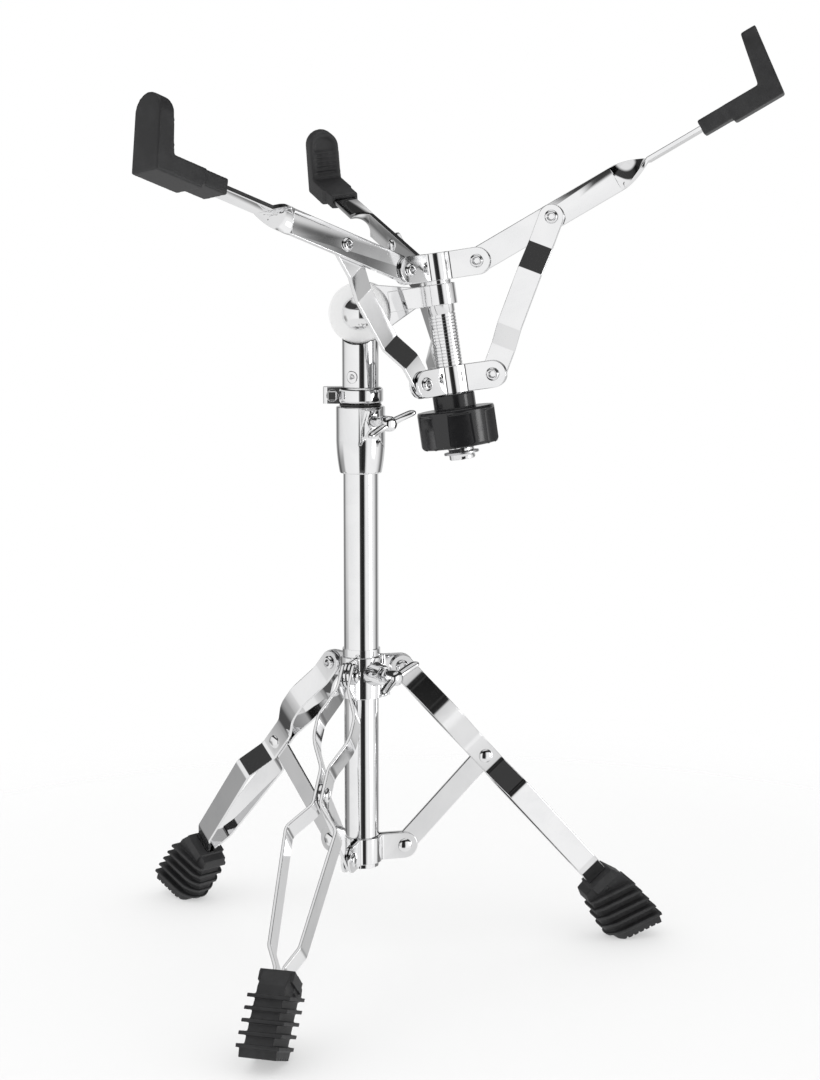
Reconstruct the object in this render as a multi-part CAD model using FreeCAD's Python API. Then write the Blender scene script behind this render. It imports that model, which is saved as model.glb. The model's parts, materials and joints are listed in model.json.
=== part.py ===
import FreeCAD
import Part
import math
import os

# Snare drum stand: folding tripod, telescoping mast, ratchet tilter and three-arm basket.
# Millimetres, +Z up. Pieces are drawn about the mast's axis, with the floor at zero height.
# The basket rod stands off the mast along +X. Each piece is set about the footprint's middle last.

V = FreeCAD.Vector
ORIGIN = V(0, 0, 0)
X_AXIS = V(1, 0, 0)
Y_AXIS = V(0, 1, 0)
Z_AXIS = V(0, 0, 1)

# Place of the mast's axis from the middle of the stand's outline
MAST_X = -40.7
MAST_Y = 2.9

# Clearances
RUN_GAP = 0.05
SEAT_GAP = 0.02
SIDE_GAP = 0.3

# Sheet metal and rivets
PLATE = 1.8
STRIP = 2.0
RIVET_R = 2.9
RIVET_HEAD_R = 4.2
RIVET_HEAD_H = 1.9
RIVET_HOLE_R = 2.1
RIVET_HOLE_DEPTH = 1.2
PLATE_BEND = 3.0
MOST_WRAP = 100.0
SHORTEST_EDGE = 0.0002

# Base tube and leg spider
BASE_TUBE_R = 11.1
BASE_TUBE_WALL = 1.2
BASE_TUBE_LENGTH = 274.5
TUBE_BELOW_SPIDER = 11.5
SPIDER_PIVOT_R = 28.1
SPIDER_EAR_R = 8.5

# Legs and struts
LEG_COUNT = 3
LEG_TURN = 26.5
LEG_ANGLE = 42.0
LEG_PIVOT_R = 26.0
LEG_WIDTH = 15.0
LEG_BEND = 7.0
LEG_EASY_BEND = 15.0
LEG_BOW_BEND = 30.0
LEG_STRUT_HOLE = 84.7
LEG_UPPER_BOW = 11.7
LEG_LOWER_BOW = 15.8
LEG_LOWER_BOW_END = 9.4
LEG_TOP_FLAT = 14.0
LEG_UPPER_BOW_FROM = 33.5
LEG_UPPER_BOW_TO = 50.0
LEG_PINCH_BEFORE = 15.0
LEG_PINCH_AFTER = 10.0
LEG_LOWER_BOW_FROM = 111.0
LEG_BOW_END_UP = 49.0
LEG_CLOSED_UP = 36.0
LEG_IN_FOOT = 2.6
LEG_LENGTH = 236.0
STRUT_LENGTH = 78.5
STRUT_WIDTH = 14.0

# Rubber feet, measured up the leg or past the leg from its lower end, and square to it
FOOT_TOP_UP = 34.0
FOOT_TOP_OUT = 9.2
FOOT_TOP_IN = 9.0
FOOT_SHOULDER_UP = 23.0
FOOT_SHOULDER_OUT = 13.0
FOOT_TOE_EDGE_PAST = 13.0
FOOT_TOE_PAST = 20.1
FOOT_TOE_OUT = 10.2
FOOT_CONTACT_PAST = 9.8
FOOT_CONTACT_IN = 17.9
FOOT_HEEL_PAST = 0.5
FOOT_HEEL_IN = 21.3
FOOT_BACK_UP = 10.0
FOOT_BACK_IN = 19.6
FOOT_NOSE_UP = 26.5
FOOT_NOSE_IN = 16.8
FOOT_NOSE_TOP_IN = 14.6
FOOT_NOSE_DROP = 1.5
FOOT_NOSE_WIDTH = 18.6
FOOT_FLAT = 0.8
FOOT_WIDTH = 17.0
FOOT_FLANGE_WIDTH = 22.5
FOOT_FLANGE_H = 6.4
FOOT_CAP_H = 7.0
FOOT_CAP_WIDTH = 21.5
FIN_COUNT = 5
FIN_FIRST = 5.4
FIN_PITCH = 7.05
FIN_THICK = 2.2
FIN_OUT = 4.4
FIN_OUT_ENDS = 1.6
SOLE_GROOVES = 6
SOLE_GROOVE_DEPTH = 2.4

# Leg collar and its wing screw
SLEEVE_R = 12.1
COLLAR_BELOW_PIVOT = 18.7
COLLAR_EAR_R = 8.0
COLLAR_EAR_NECK = 19.0
SLEEVE_ABOVE_PIVOT = 12.8
COLLAR_BOSS_R = 6.2
COLLAR_BOSS_ROOT_R = 10.2
COLLAR_BOSS_END = 21.0
LEG_SCREW_BELOW_PIVOT = 2.5
LEG_SCREW_STANDOFF = 2.0
LEG_WING_TURN = -62.0

# Wing screws
SCREW_R = 3.0
SCREW_HUB_R = 4.8
SCREW_HUB_LENGTH = 12.5
WING_REACH = 14.6
WING_TIP_R = 3.4
WING_ROOT_R = 2.6
WING_THICK = 3.0
WING_SWEEP = 3.5

# Height collar, bushing and memory lock
HEIGHT_COLLAR_H = 42.2
HEIGHT_COLLAR_ON_TUBE = 18.0
HEIGHT_COLLAR_TOP_R = 15.5
HEIGHT_COLLAR_FOOT_R = 13.2
HEIGHT_COLLAR_SWELL = 0.7
HEIGHT_BOSS_R = 6.0
HEIGHT_BOSS_INSET = 0.5
HEIGHT_BOSS_BACK = 3.2
HEIGHT_BOSS_PAST = 2.5
HEIGHT_BOSS_DOWN = 18.0
HEIGHT_SCREW_DOWN = 8.5
HEIGHT_SCREW_STANDOFF = 10.0
HEIGHT_SCREW_TURN = -48.0
HEIGHT_WING_TURN = -66.0
BUSHING_R = 12.3
BUSHING_FLANGE_R = 13.3
BUSHING_FLANGE_H = 1.3
LOCK_R = 14.3
LOCK_H = 10.4
LOCK_ROUND = 2.4
LOCK_LUG_OUT = 23.5
LOCK_LUG_WIDTH = 11.0
LOCK_SLIT = 1.6
LOCK_TURN = 192.0
LOCK_SCREW_R = 2.6
LOCK_SCREW_FLANGE_R = 3.9
LOCK_SCREW_HEAD_H = 5.7
LOCK_SCREW_OUT = 17.6

# Upper tube and tilter socket
UPPER_TUBE_R = 9.525
UPPER_TUBE_WALL = 1.2
UPPER_TUBE_LENGTH = 280.0
SOCKET_R = 11.5
SOCKET_RIVET_UP = 6.5
SOCKET_RIVET_TURN = -105.0
SOCKET_RIVET_R = 1.9

# Tilter, along its axis from the arm plate's mid-plane
TILTER_ABOVE_COLLAR = 58.5
TILTER_R = 19.5
TILTER_DISC_R = 19.1
TILTER_DISC_THICK = 5.4
TILTER_DISC_ROUND = 1.6
TILTER_RATCHET_R = 16.0
TILTER_RATCHET_THICK = 3.6
TILTER_TOOTH = 1.0
TILTER_TEETH = 24
TILTER_CUP_THICK = 7.4
TILTER_BOLT_R = 4.0
TILTER_DOME_R = 10.4
TILTER_DOME_H = 5.6
TILTER_WASHER_R = 9.0
TILTER_WASHER_THICK = 1.4
TILTER_NUT_R = 6.6
TILTER_NUT_LENGTH = 9.0
TILTER_NUT_WING_AT = 6.0
TILTER_NUT_WING_TURN = 60.0
TILTER_BOLT_PAST_NUT = 2.5
TILTER_ARM_THICK = 3.0
TILTER_ARM_ROUND = 18.2
TILTER_ARM_TIP_R = 7.4
TILTER_ARM_REACH = 32.0
STRAP_THICK = 2.2
STRAP_HEIGHT = 13.0
STRAP_UP = 4.0
STRAP_REACH = 31.5

# Basket
BASKET_LEAN = 8.5
ROD_OFFSET = 51.5
ROD_R = 8.5
ROD_BELOW_KNOB = 8.3
CLIP_R = 11.0
CLIP_THICK = 1.5
CLIP_DEPTH = 1.2
CLIP_MOUTH = 8.8
BASKET_SPIDER_UP = 21.2
BASKET_PIVOT_R = 27.0
BASKET_EAR_R = 8.5
ARM_COUNT = 3
ARM_THICK = 3.0
ARM_WIDTH = 16.0
ARM_ANGLE = 21.5
ARM_LINK_HOLE = 53.4
ARM_TWIST_FROM = 98.0
ARM_TWIST_LENGTH = 23.0
ARM_TWIST_SECTIONS = 7
ARM_LENGTH = 206.0
LINK_LENGTH = 102.7
LINK_THICK = 2.4
LINK_WIDTH = 15.5
LINK_BOW = 7.8
LINK_BEND = 5.0
LINK_LOWER_JOG = (18.0, 32.0)
LINK_UPPER_JOG = (35.0, 18.0)

# Rubber grips, measured back along the arm from its end
GRIP_LENGTH = 49.0
GRIP_PAD_BACK = 8.0
GRIP_PAD_THICK = 11.0
GRIP_PAD_WIDTH = 21.5
GRIP_PAD_TOP = 37.0
GRIP_SLEEVE_WIDTH = 19.2
GRIP_SLEEVE_H = 9.6
GRIP_WIDE_BACK = 32.0
GRIP_LIP_BACK = 30.0
GRIP_LIP_THICK = 1.8
GRIP_LIP_GAP = 0.6
GRIP_PANEL_INSET = 3.2
GRIP_PANEL_DEPTH = 1.2
GRIP_RIBS = 5
GRIP_RIB = 1.6
GRIP_PAD_LEAN = 5.5
GRIP_FACE_LEAN = 9.7

# Tension knob
KNOB_R = 24.3
KNOB_H = 23.7
KNOB_NECK_R = 13.2
KNOB_NECK_H = 9.3
KNOB_EDGE = 1.6
KNOB_FLUTES = 6
KNOB_FLUTE_TURN = -15.0
KNOB_FLUTE_ANGLE = 37.5
KNOB_FLUTE_DEPTH = 1.9
KNOB_RIM = 2.8


def sin(angle):
    return math.sin(math.radians(angle))


def cos(angle):
    return math.cos(math.radians(angle))


def tan(angle):
    return math.tan(math.radians(angle))


# Places that follow from the sizes above, in the plane of one leg and in the plane of one arm
FOOT_TOP = LEG_LENGTH - FOOT_TOP_UP
FOOT_TOE = LEG_LENGTH + FOOT_TOE_PAST
FOOT_CONTACT = LEG_LENGTH + FOOT_CONTACT_PAST
LEG_PIVOT_Z = FOOT_CONTACT * cos(LEG_ANGLE) + FOOT_CONTACT_IN * sin(LEG_ANGLE) - FOOT_FLAT


def leg_point(along, out):
    """Point of a leg's plane, from the distance along the leg and the distance square to it."""
    radius = LEG_PIVOT_R + along * sin(LEG_ANGLE) + out * cos(LEG_ANGLE)
    height = LEG_PIVOT_Z - along * cos(LEG_ANGLE) + out * sin(LEG_ANGLE)
    return V(radius, 0, height)


LEG_PIVOT = V(LEG_PIVOT_R, 0, LEG_PIVOT_Z)
STRUT_PIVOT = leg_point(LEG_STRUT_HOLE, 0)
STRUT_DROP = math.sqrt(STRUT_LENGTH**2 - (STRUT_PIVOT.x - SPIDER_PIVOT_R)**2)
SPIDER_Z = STRUT_PIVOT.z - STRUT_DROP
SPIDER_PIVOT = V(SPIDER_PIVOT_R, 0, SPIDER_Z)
TUBE_BOTTOM = SPIDER_Z - TUBE_BELOW_SPIDER
TUBE_TOP = TUBE_BOTTOM + BASE_TUBE_LENGTH
HEIGHT_COLLAR_BOTTOM = TUBE_TOP - HEIGHT_COLLAR_ON_TUBE
HEIGHT_COLLAR_TOP = HEIGHT_COLLAR_BOTTOM + HEIGHT_COLLAR_H
HEIGHT_SCREW_Z = HEIGHT_COLLAR_TOP - HEIGHT_SCREW_DOWN
HEIGHT_BOSS_OUT = HEIGHT_COLLAR_TOP_R - HEIGHT_BOSS_BACK
HEIGHT_BOSS_END = HEIGHT_COLLAR_TOP_R + HEIGHT_BOSS_PAST
LEG_SCREW_Z = LEG_PIVOT_Z - LEG_SCREW_BELOW_PIVOT
LEG_SCREW_TURN = LEG_TURN - 180 / LEG_COUNT
BUSHING_TOP = HEIGHT_COLLAR_TOP + SIDE_GAP + BUSHING_FLANGE_H
LOCK_BOTTOM = BUSHING_TOP + SIDE_GAP
SOCKET_BOTTOM = LOCK_BOTTOM + LOCK_H + SEAT_GAP
TILTER_Z = HEIGHT_COLLAR_TOP + TILTER_ABOVE_COLLAR
UPPER_TUBE_TOP = TILTER_Z - TILTER_R - 2 * SIDE_GAP
UPPER_TUBE_BOTTOM = UPPER_TUBE_TOP - UPPER_TUBE_LENGTH

COLLAR_PLATE_HUG = SLEEVE_R + SEAT_GAP + PLATE / 2
COLLAR_EAR_OFFSET = SIDE_GAP + PLATE / 2
LEG_TOP_OFFSET = COLLAR_EAR_OFFSET + PLATE / 2 + SIDE_GAP + STRIP / 2
STRUT_HALF_GAP = STRIP / 2 + SIDE_GAP
LEG_PINCH = STRUT_HALF_GAP + STRIP / 2
SPIDER_PLATE_HUG = BASE_TUBE_R + SEAT_GAP + PLATE / 2
SPIDER_EAR_OFFSET = STRUT_HALF_GAP + PLATE / 2

ARM_HALF_GAP = ARM_THICK / 2 + SIDE_GAP
BASKET_EAR_OFFSET = ARM_HALF_GAP + PLATE / 2
ARM_PIVOT = V(BASKET_PIVOT_R, 0, BASKET_SPIDER_UP)
LINK_TOP_OFFSET = ARM_THICK / 2 + SIDE_GAP + LINK_THICK / 2
GRIP_FROM = ARM_LENGTH - GRIP_LENGTH
GRIP_PAD_FACE = ARM_LENGTH - GRIP_PAD_BACK


def link_places(arm_angle):
    """Link's upper pivot and lower pivot at an angle of the arm above the basket's plane."""
    upper = ARM_PIVOT + V(ARM_LINK_HOLE * cos(arm_angle), 0, ARM_LINK_HOLE * sin(arm_angle))
    drop = math.sqrt(LINK_LENGTH**2 - (upper.x - BASKET_PIVOT_R)**2)
    return upper, V(BASKET_PIVOT_R, 0, upper.z - drop)


LINK_TOP, LINK_FOOT = link_places(ARM_ANGLE)
KNOB_TOP = LINK_FOOT.z - BASKET_EAR_R - SIDE_GAP
KNOB_BOTTOM = KNOB_TOP - KNOB_NECK_H - KNOB_H
ROD_BOTTOM = KNOB_BOTTOM - ROD_BELOW_KNOB
ROD_TOP = BASKET_SPIDER_UP + BASKET_EAR_R

TILTER_FRONT = -TILTER_ARM_THICK / 2
TILTER_DISC_FRONT = TILTER_FRONT - TILTER_DISC_THICK
TILTER_RATCHET_BACK = TILTER_ARM_THICK / 2 + TILTER_RATCHET_THICK
TILTER_CUP_FRONT = TILTER_RATCHET_BACK + SIDE_GAP
TILTER_CUP_BACK = TILTER_CUP_FRONT + TILTER_CUP_THICK
TILTER_WASHER_BACK = TILTER_CUP_BACK + SIDE_GAP + TILTER_WASHER_THICK
TILTER_NUT_FRONT = TILTER_WASHER_BACK + SIDE_GAP
TILTER_NUT_BACK = TILTER_NUT_FRONT + TILTER_NUT_LENGTH


def cylinder(radius, low, high, axis=Z_AXIS):
    """Round bar on an axis through the origin."""
    return Part.makeCylinder(radius, high - low, axis * low, axis)


def tube(inner, outer, low, high, axis=Z_AXIS):
    return cylinder(outer, low, high, axis).cut(cylinder(inner, low, high, axis))


def box(low, high):
    size = high - low
    return Part.makeBox(size.x, size.y, size.z, low)


def moved(shape, x=0, y=0, z=0):
    return shape.translated(V(x, y, z))


def turned(shape, angle, axis=Z_AXIS, about=ORIGIN):
    return shape.rotated(about, axis, angle)


def spread(shape, count=3, first=0):
    """Copies of a shape, evenly turned about the vertical axis."""
    return [turned(shape, first + 360 * index / count) for index in range(count)]


def outline(points):
    """Flat face with straight sides."""
    return Part.Face(Part.makePolygon(points + points[:1]))


def revolved(points):
    """Solid of revolution about the vertical axis, from (radius, height) pairs."""
    face = outline([V(radius, 0, height) for radius, height in points])
    return face.revolve(ORIGIN, Z_AXIS, 360)


def slot_face(start, start_radius, end, end_radius):
    """Face in the XY plane that wraps two circles."""
    along = end - start
    heading = math.degrees(math.atan2(along.y, along.x))
    side = math.degrees(math.acos((start_radius - end_radius) / along.Length))

    def rim(centre, radius, angle):
        return centre + V(cos(angle), sin(angle), 0) * radius

    left_start = rim(start, start_radius, heading + side)
    left_end = rim(end, end_radius, heading + side)
    right_end = rim(end, end_radius, heading - side)
    right_start = rim(start, start_radius, heading - side)
    edges = [
        Part.makeLine(left_start, left_end),
        Part.Arc(left_end, rim(end, end_radius, heading), right_end).toShape(),
        Part.makeLine(right_end, right_start),
        Part.Arc(right_start, rim(start, start_radius, heading + 180), left_start).toShape(),
    ]
    return Part.Face(Part.Wire(edges))


def plate(face, thick, middle=0):
    """Upright plate in the XZ plane, from a face drawn in the XY plane."""
    flat = face.extrude(V(0, 0, thick))
    return turned(moved(flat, z=-thick / 2 - middle), 90, X_AXIS)


def bent_edges(points, radii, shift):
    """Edges of a bent line, shifted to its left, with each corner rounded."""
    ways = [(second - first).normalize() for first, second in zip(points, points[1:])]
    lefts = [V(-way.y, way.x, 0) for way in ways]
    edges = []
    last = points[0] + lefts[0] * shift
    for index, radius in enumerate(radii):
        before, after = ways[index], ways[index + 1]
        normal = lefts[index] + lefts[index + 1]
        corner = points[index + 1] + normal * (shift / (1 + lefts[index].dot(lefts[index + 1])))
        turn = before.getAngle(after)
        side = 1 if before.cross(after).z > 0 else -1
        bend = radius - side * shift
        run = bend * math.tan(turn / 2)
        start = corner - before * run
        end = corner + after * run
        inward = (after - before).normalize()
        middle = corner + inward * (bend / math.cos(turn / 2) - bend)
        if (start - last).Length > SHORTEST_EDGE:
            edges.append(Part.makeLine(last, start))
        edges.append(Part.Arc(start, middle, end).toShape())
        last = end
    edges.append(Part.makeLine(last, points[-1] + lefts[-1] * shift))
    return edges


def strip(points, radii, thick, width):
    """Flat bar bent along a line in the XY plane, its width up and down from that plane."""
    left = bent_edges(points, radii, thick / 2)
    right = bent_edges(points, radii, -thick / 2)
    start = Part.makeLine(right[0].firstVertex().Point, left[0].firstVertex().Point)
    end = Part.makeLine(left[-1].lastVertex().Point, right[-1].lastVertex().Point)
    wire = Part.Wire(Part.__sortEdges__(left + [end] + right + [start]))
    return moved(Part.Face(wire).extrude(V(0, 0, width)), z=-width / 2)


def hug_line(sector, hug, ear_offset, reach):
    """Plan line of a strip that wraps a bar and runs out along both sides of a sector."""
    start = math.degrees(math.asin((ear_offset + PLATE_BEND) / (hug + PLATE_BEND)))
    wrap = sector - 2 * start
    steps = math.ceil(wrap / MOST_WRAP)
    step = wrap / steps
    corner = hug / cos(step / 2)
    ear_start = hug * cos(start) + (hug * sin(start) - ear_offset) * tan(start)
    points = [V(reach, ear_offset, 0), V(ear_start, ear_offset, 0)]
    for index in range(steps):
        angle = start + (index + 0.5) * step
        points.append(V(cos(angle), sin(angle), 0) * corner)
    for distance in (ear_start, reach):
        x = distance * cos(sector) + ear_offset * sin(sector)
        y = distance * sin(sector) - ear_offset * cos(sector)
        points.append(V(x, y, 0))
    return points, [PLATE_BEND] + [hug] * steps + [PLATE_BEND]


def spider_plate(count, hug, ear_offset, pivot, ear_radius, neck, low, high):
    """Stamped plate that hugs a bar and makes one side of two neighbouring clevises."""
    sector = 360 / count
    reach = pivot.x + ear_radius
    points, radii = hug_line(sector, hug, ear_offset, reach)
    body = moved(strip(points, radii, PLATE, high - low), z=(low + high) / 2)
    ear_face = slot_face(V(0, pivot.z, 0), ear_radius, V(pivot.x, pivot.z, 0), ear_radius)
    ear = plate(ear_face, 4 * ear_radius)
    beyond = box(V(neck, -2 * ear_radius, low), V(reach + PLATE, 2 * ear_radius, high)).cut(ear)
    hole = cylinder(RIVET_R + RUN_GAP, -2 * ear_radius, 2 * ear_radius, Y_AXIS)
    cutter = beyond.fuse(hole.translated(pivot))
    return body.cut([cutter, turned(cutter, sector)])


def rivet_head(base):
    """Rolled head of a hollow rivet, standing up from its seat."""
    shoulder = RIVET_HEAD_H / 3
    crown = (RIVET_HEAD_R + RIVET_HOLE_R) / 2
    return moved(revolved([
        (RIVET_HOLE_R, 0),
        (RIVET_HEAD_R, 0),
        (RIVET_HEAD_R, shoulder),
        (crown, RIVET_HEAD_H),
        (RIVET_HOLE_R, RIVET_HEAD_H),
    ]), z=base)


def rivet_hole(seat):
    return cylinder(RIVET_HOLE_R, seat - RIVET_HOLE_DEPTH, seat)


def rivet(right, left):
    """Rivet along Y, with the seats of its two heads at right and left."""
    shank = cylinder(RIVET_R, right, left).cut([rivet_hole(left), rivet_hole(right + RIVET_HOLE_DEPTH)])
    body = shank.fuse([rivet_head(left), turned(rivet_head(-right), 180, X_AXIS)])
    return turned(body.removeSplitter(), -90, X_AXIS)


def rivet_stub(inner, outer):
    """Rivet end along Y that fills one ear, and its head."""
    body = cylinder(RIVET_R, inner, outer).cut(rivet_hole(outer)).fuse(rivet_head(outer))
    return turned(body.removeSplitter(), -90, X_AXIS)


def clevis_stubs(inner, outer, pivot):
    """The rivet ends in both ears of a clevis."""
    stub = rivet_stub(inner, outer).translated(pivot)
    return [stub, turned(stub, 180, X_AXIS, pivot)]


def bar(width, length, thick):
    """Flat upright bar along X with rounded ends, holed at its first end."""
    half = width / 2
    body = plate(slot_face(ORIGIN, half, V(length, 0, 0), half), thick)
    return body.cut(cylinder(RIVET_R + RUN_GAP, -thick, thick, Y_AXIS))


def wing(axis_place):
    """Both blades of a wing screw whose axis is X, in the XZ plane."""
    blades = []
    for side in (1, -1):
        root = V(axis_place, 0, 0)
        tip = V(axis_place + WING_SWEEP, side * WING_REACH, 0)
        blades.append(plate(slot_face(root, WING_ROOT_R, tip, WING_TIP_R), WING_THICK))
    return blades


def wing_screw(tip, hub_start):
    """Wing screw along X."""
    hub_end = hub_start + SCREW_HUB_LENGTH
    shank = cylinder(SCREW_R, tip, hub_start, X_AXIS)
    hub = cylinder(SCREW_HUB_R, hub_start, hub_end, X_AXIS)
    hub = hub.makeFillet(SCREW_HUB_R / 3, [hub.Edges[0]])
    blades = wing(hub_end - WING_SWEEP)
    return shank.fuse([hub] + blades).removeSplitter()


def to_leg(shape):
    """From along, across and square to a leg, to the plane of the leg at no turn."""
    return turned(shape, 90 - LEG_ANGLE, Y_AXIS).translated(LEG_PIVOT)


def leg_turn(index):
    return LEG_TURN + 360 * index / LEG_COUNT


def to_basket(shape):
    """From the rod's axis at the tilter's height to the leaning basket."""
    placed = moved(shape, x=ROD_OFFSET, z=TILTER_Z)
    return turned(placed, -BASKET_LEAN, Y_AXIS, V(0, 0, TILTER_Z))


def arm_turn(index):
    return 360 * index / ARM_COUNT


def to_arm(shape):
    """From along, across and above an arm, to the plane of the arm at no turn."""
    return turned(shape, -ARM_ANGLE, Y_AXIS).translated(ARM_PIVOT)


def base_tube():
    inner = BASE_TUBE_R - BASE_TUBE_WALL
    return tube(inner, BASE_TUBE_R, TUBE_BOTTOM, TUBE_TOP)


def leg_spider_plates():
    low = SPIDER_Z - SPIDER_EAR_R
    high = SPIDER_Z + SPIDER_EAR_R
    stamped = spider_plate(LEG_COUNT, SPIDER_PLATE_HUG, SPIDER_EAR_OFFSET, SPIDER_PIVOT, SPIDER_EAR_R,
                           SPIDER_PIVOT_R, low, high)
    return spread(stamped, LEG_COUNT, LEG_TURN)


def leg_spider_rivets():
    stubs = clevis_stubs(STRUT_HALF_GAP, STRUT_HALF_GAP + PLATE, SPIDER_PIVOT)
    return [piece for stub in stubs for piece in spread(stub, LEG_COUNT, LEG_TURN)]


def collar_sleeve():
    bore = BASE_TUBE_R + RUN_GAP
    body = tube(bore, SLEEVE_R, LEG_PIVOT_Z - COLLAR_BELOW_PIVOT, LEG_PIVOT_Z + SLEEVE_ABOVE_PIVOT)
    return body.cut(collar_screw_hole())


def collar_screw_hole():
    hole = moved(cylinder(SCREW_R + RUN_GAP, 0, COLLAR_BOSS_END, X_AXIS), z=LEG_SCREW_Z)
    return turned(hole, LEG_SCREW_TURN)


def collar_plates():
    low = LEG_PIVOT_Z - COLLAR_BELOW_PIVOT
    high = LEG_PIVOT_Z + COLLAR_EAR_R
    stamped = spider_plate(LEG_COUNT, COLLAR_PLATE_HUG, COLLAR_EAR_OFFSET, LEG_PIVOT, COLLAR_EAR_R,
                           COLLAR_EAR_NECK, low, high)
    return [piece.cut(collar_screw_hole()) for piece in spread(stamped, LEG_COUNT, LEG_TURN)]


def collar_boss():
    plate_face = COLLAR_PLATE_HUG + PLATE / 2 + SEAT_GAP
    root = BASE_TUBE_R / 2
    body = Part.makeCone(COLLAR_BOSS_ROOT_R, COLLAR_BOSS_R, COLLAR_BOSS_END - root, X_AXIS * root, X_AXIS)
    body = body.cut(cylinder(plate_face, -2 * COLLAR_BOSS_ROOT_R, 2 * COLLAR_BOSS_ROOT_R))
    body = turned(moved(body, z=LEG_SCREW_Z), LEG_SCREW_TURN)
    return body.cut(collar_screw_hole())


def leg_pivot_rivets():
    seat = LEG_TOP_OFFSET + STRIP / 2 + SIDE_GAP
    return spread(rivet(-seat, seat).translated(LEG_PIVOT), LEG_COUNT, LEG_TURN)


def leg_wing_screw():
    body = wing_screw(BASE_TUBE_R + SIDE_GAP, COLLAR_BOSS_END + LEG_SCREW_STANDOFF)
    return turned(moved(turned(body, LEG_WING_TURN, X_AXIS), z=LEG_SCREW_Z), LEG_SCREW_TURN)


def leg_strips():
    """The two mirrored strips of a leg, along X."""
    half = LEG_WIDTH / 2
    points = [
        V(-half, LEG_TOP_OFFSET, 0),
        V(LEG_TOP_FLAT, LEG_TOP_OFFSET, 0),
        V(LEG_UPPER_BOW_FROM, LEG_UPPER_BOW, 0),
        V(LEG_UPPER_BOW_TO, LEG_UPPER_BOW, 0),
        V(LEG_STRUT_HOLE - LEG_PINCH_BEFORE, LEG_PINCH, 0),
        V(LEG_STRUT_HOLE + LEG_PINCH_AFTER, LEG_PINCH, 0),
        V(LEG_LOWER_BOW_FROM, LEG_LOWER_BOW, 0),
        V(LEG_LENGTH - LEG_BOW_END_UP, LEG_LOWER_BOW_END, 0),
        V(LEG_LENGTH - LEG_CLOSED_UP, LEG_IN_FOOT, 0),
        V(LEG_LENGTH, LEG_IN_FOOT, 0),
    ]
    upper_bends = [LEG_EASY_BEND, LEG_EASY_BEND, LEG_BOW_BEND, LEG_EASY_BEND]
    lower_bends = [LEG_BEND] * (len(points) - len(upper_bends) - 2)
    left = strip(points, upper_bends + lower_bends, STRIP, LEG_WIDTH)
    wide = 2 * LEG_LOWER_BOW
    end = box(V(-LEG_WIDTH, -wide, -half), V(0, wide, half)).cut(cylinder(half, -wide, wide, Y_AXIS))
    top_hole = cylinder(RIVET_R + RUN_GAP, -wide, wide, Y_AXIS)
    strut_hole = moved(top_hole, x=LEG_STRUT_HOLE)
    left = left.cut([end, top_hole, strut_hole])
    return [left, left.mirror(ORIGIN, Y_AXIS)]


def strut_rivet():
    seat = LEG_PINCH + STRIP / 2
    return rivet(-seat, seat).translated(STRUT_PIVOT)


def strut():
    drop = SPIDER_PIVOT - STRUT_PIVOT
    body = bar(STRUT_WIDTH, STRUT_LENGTH, STRIP)
    slope = math.degrees(math.atan2(drop.z, drop.x))
    return turned(body, -slope, Y_AXIS).translated(STRUT_PIVOT)


def foot_plan(width, inner):
    """Prism along a leg, square outwards and round inwards."""
    half = width / 2
    middle = half - inner
    square = box(V(0, -half, middle), V(2 * LEG_LENGTH, half, inner))
    back = moved(cylinder(half, 0, 2 * LEG_LENGTH, X_AXIS), z=middle)
    return to_leg(square.fuse(back))


def across(face, width):
    """Face in the XZ plane, thickened to both sides."""
    return moved(face.extrude(V(0, width, 0)), y=-width / 2)


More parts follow.
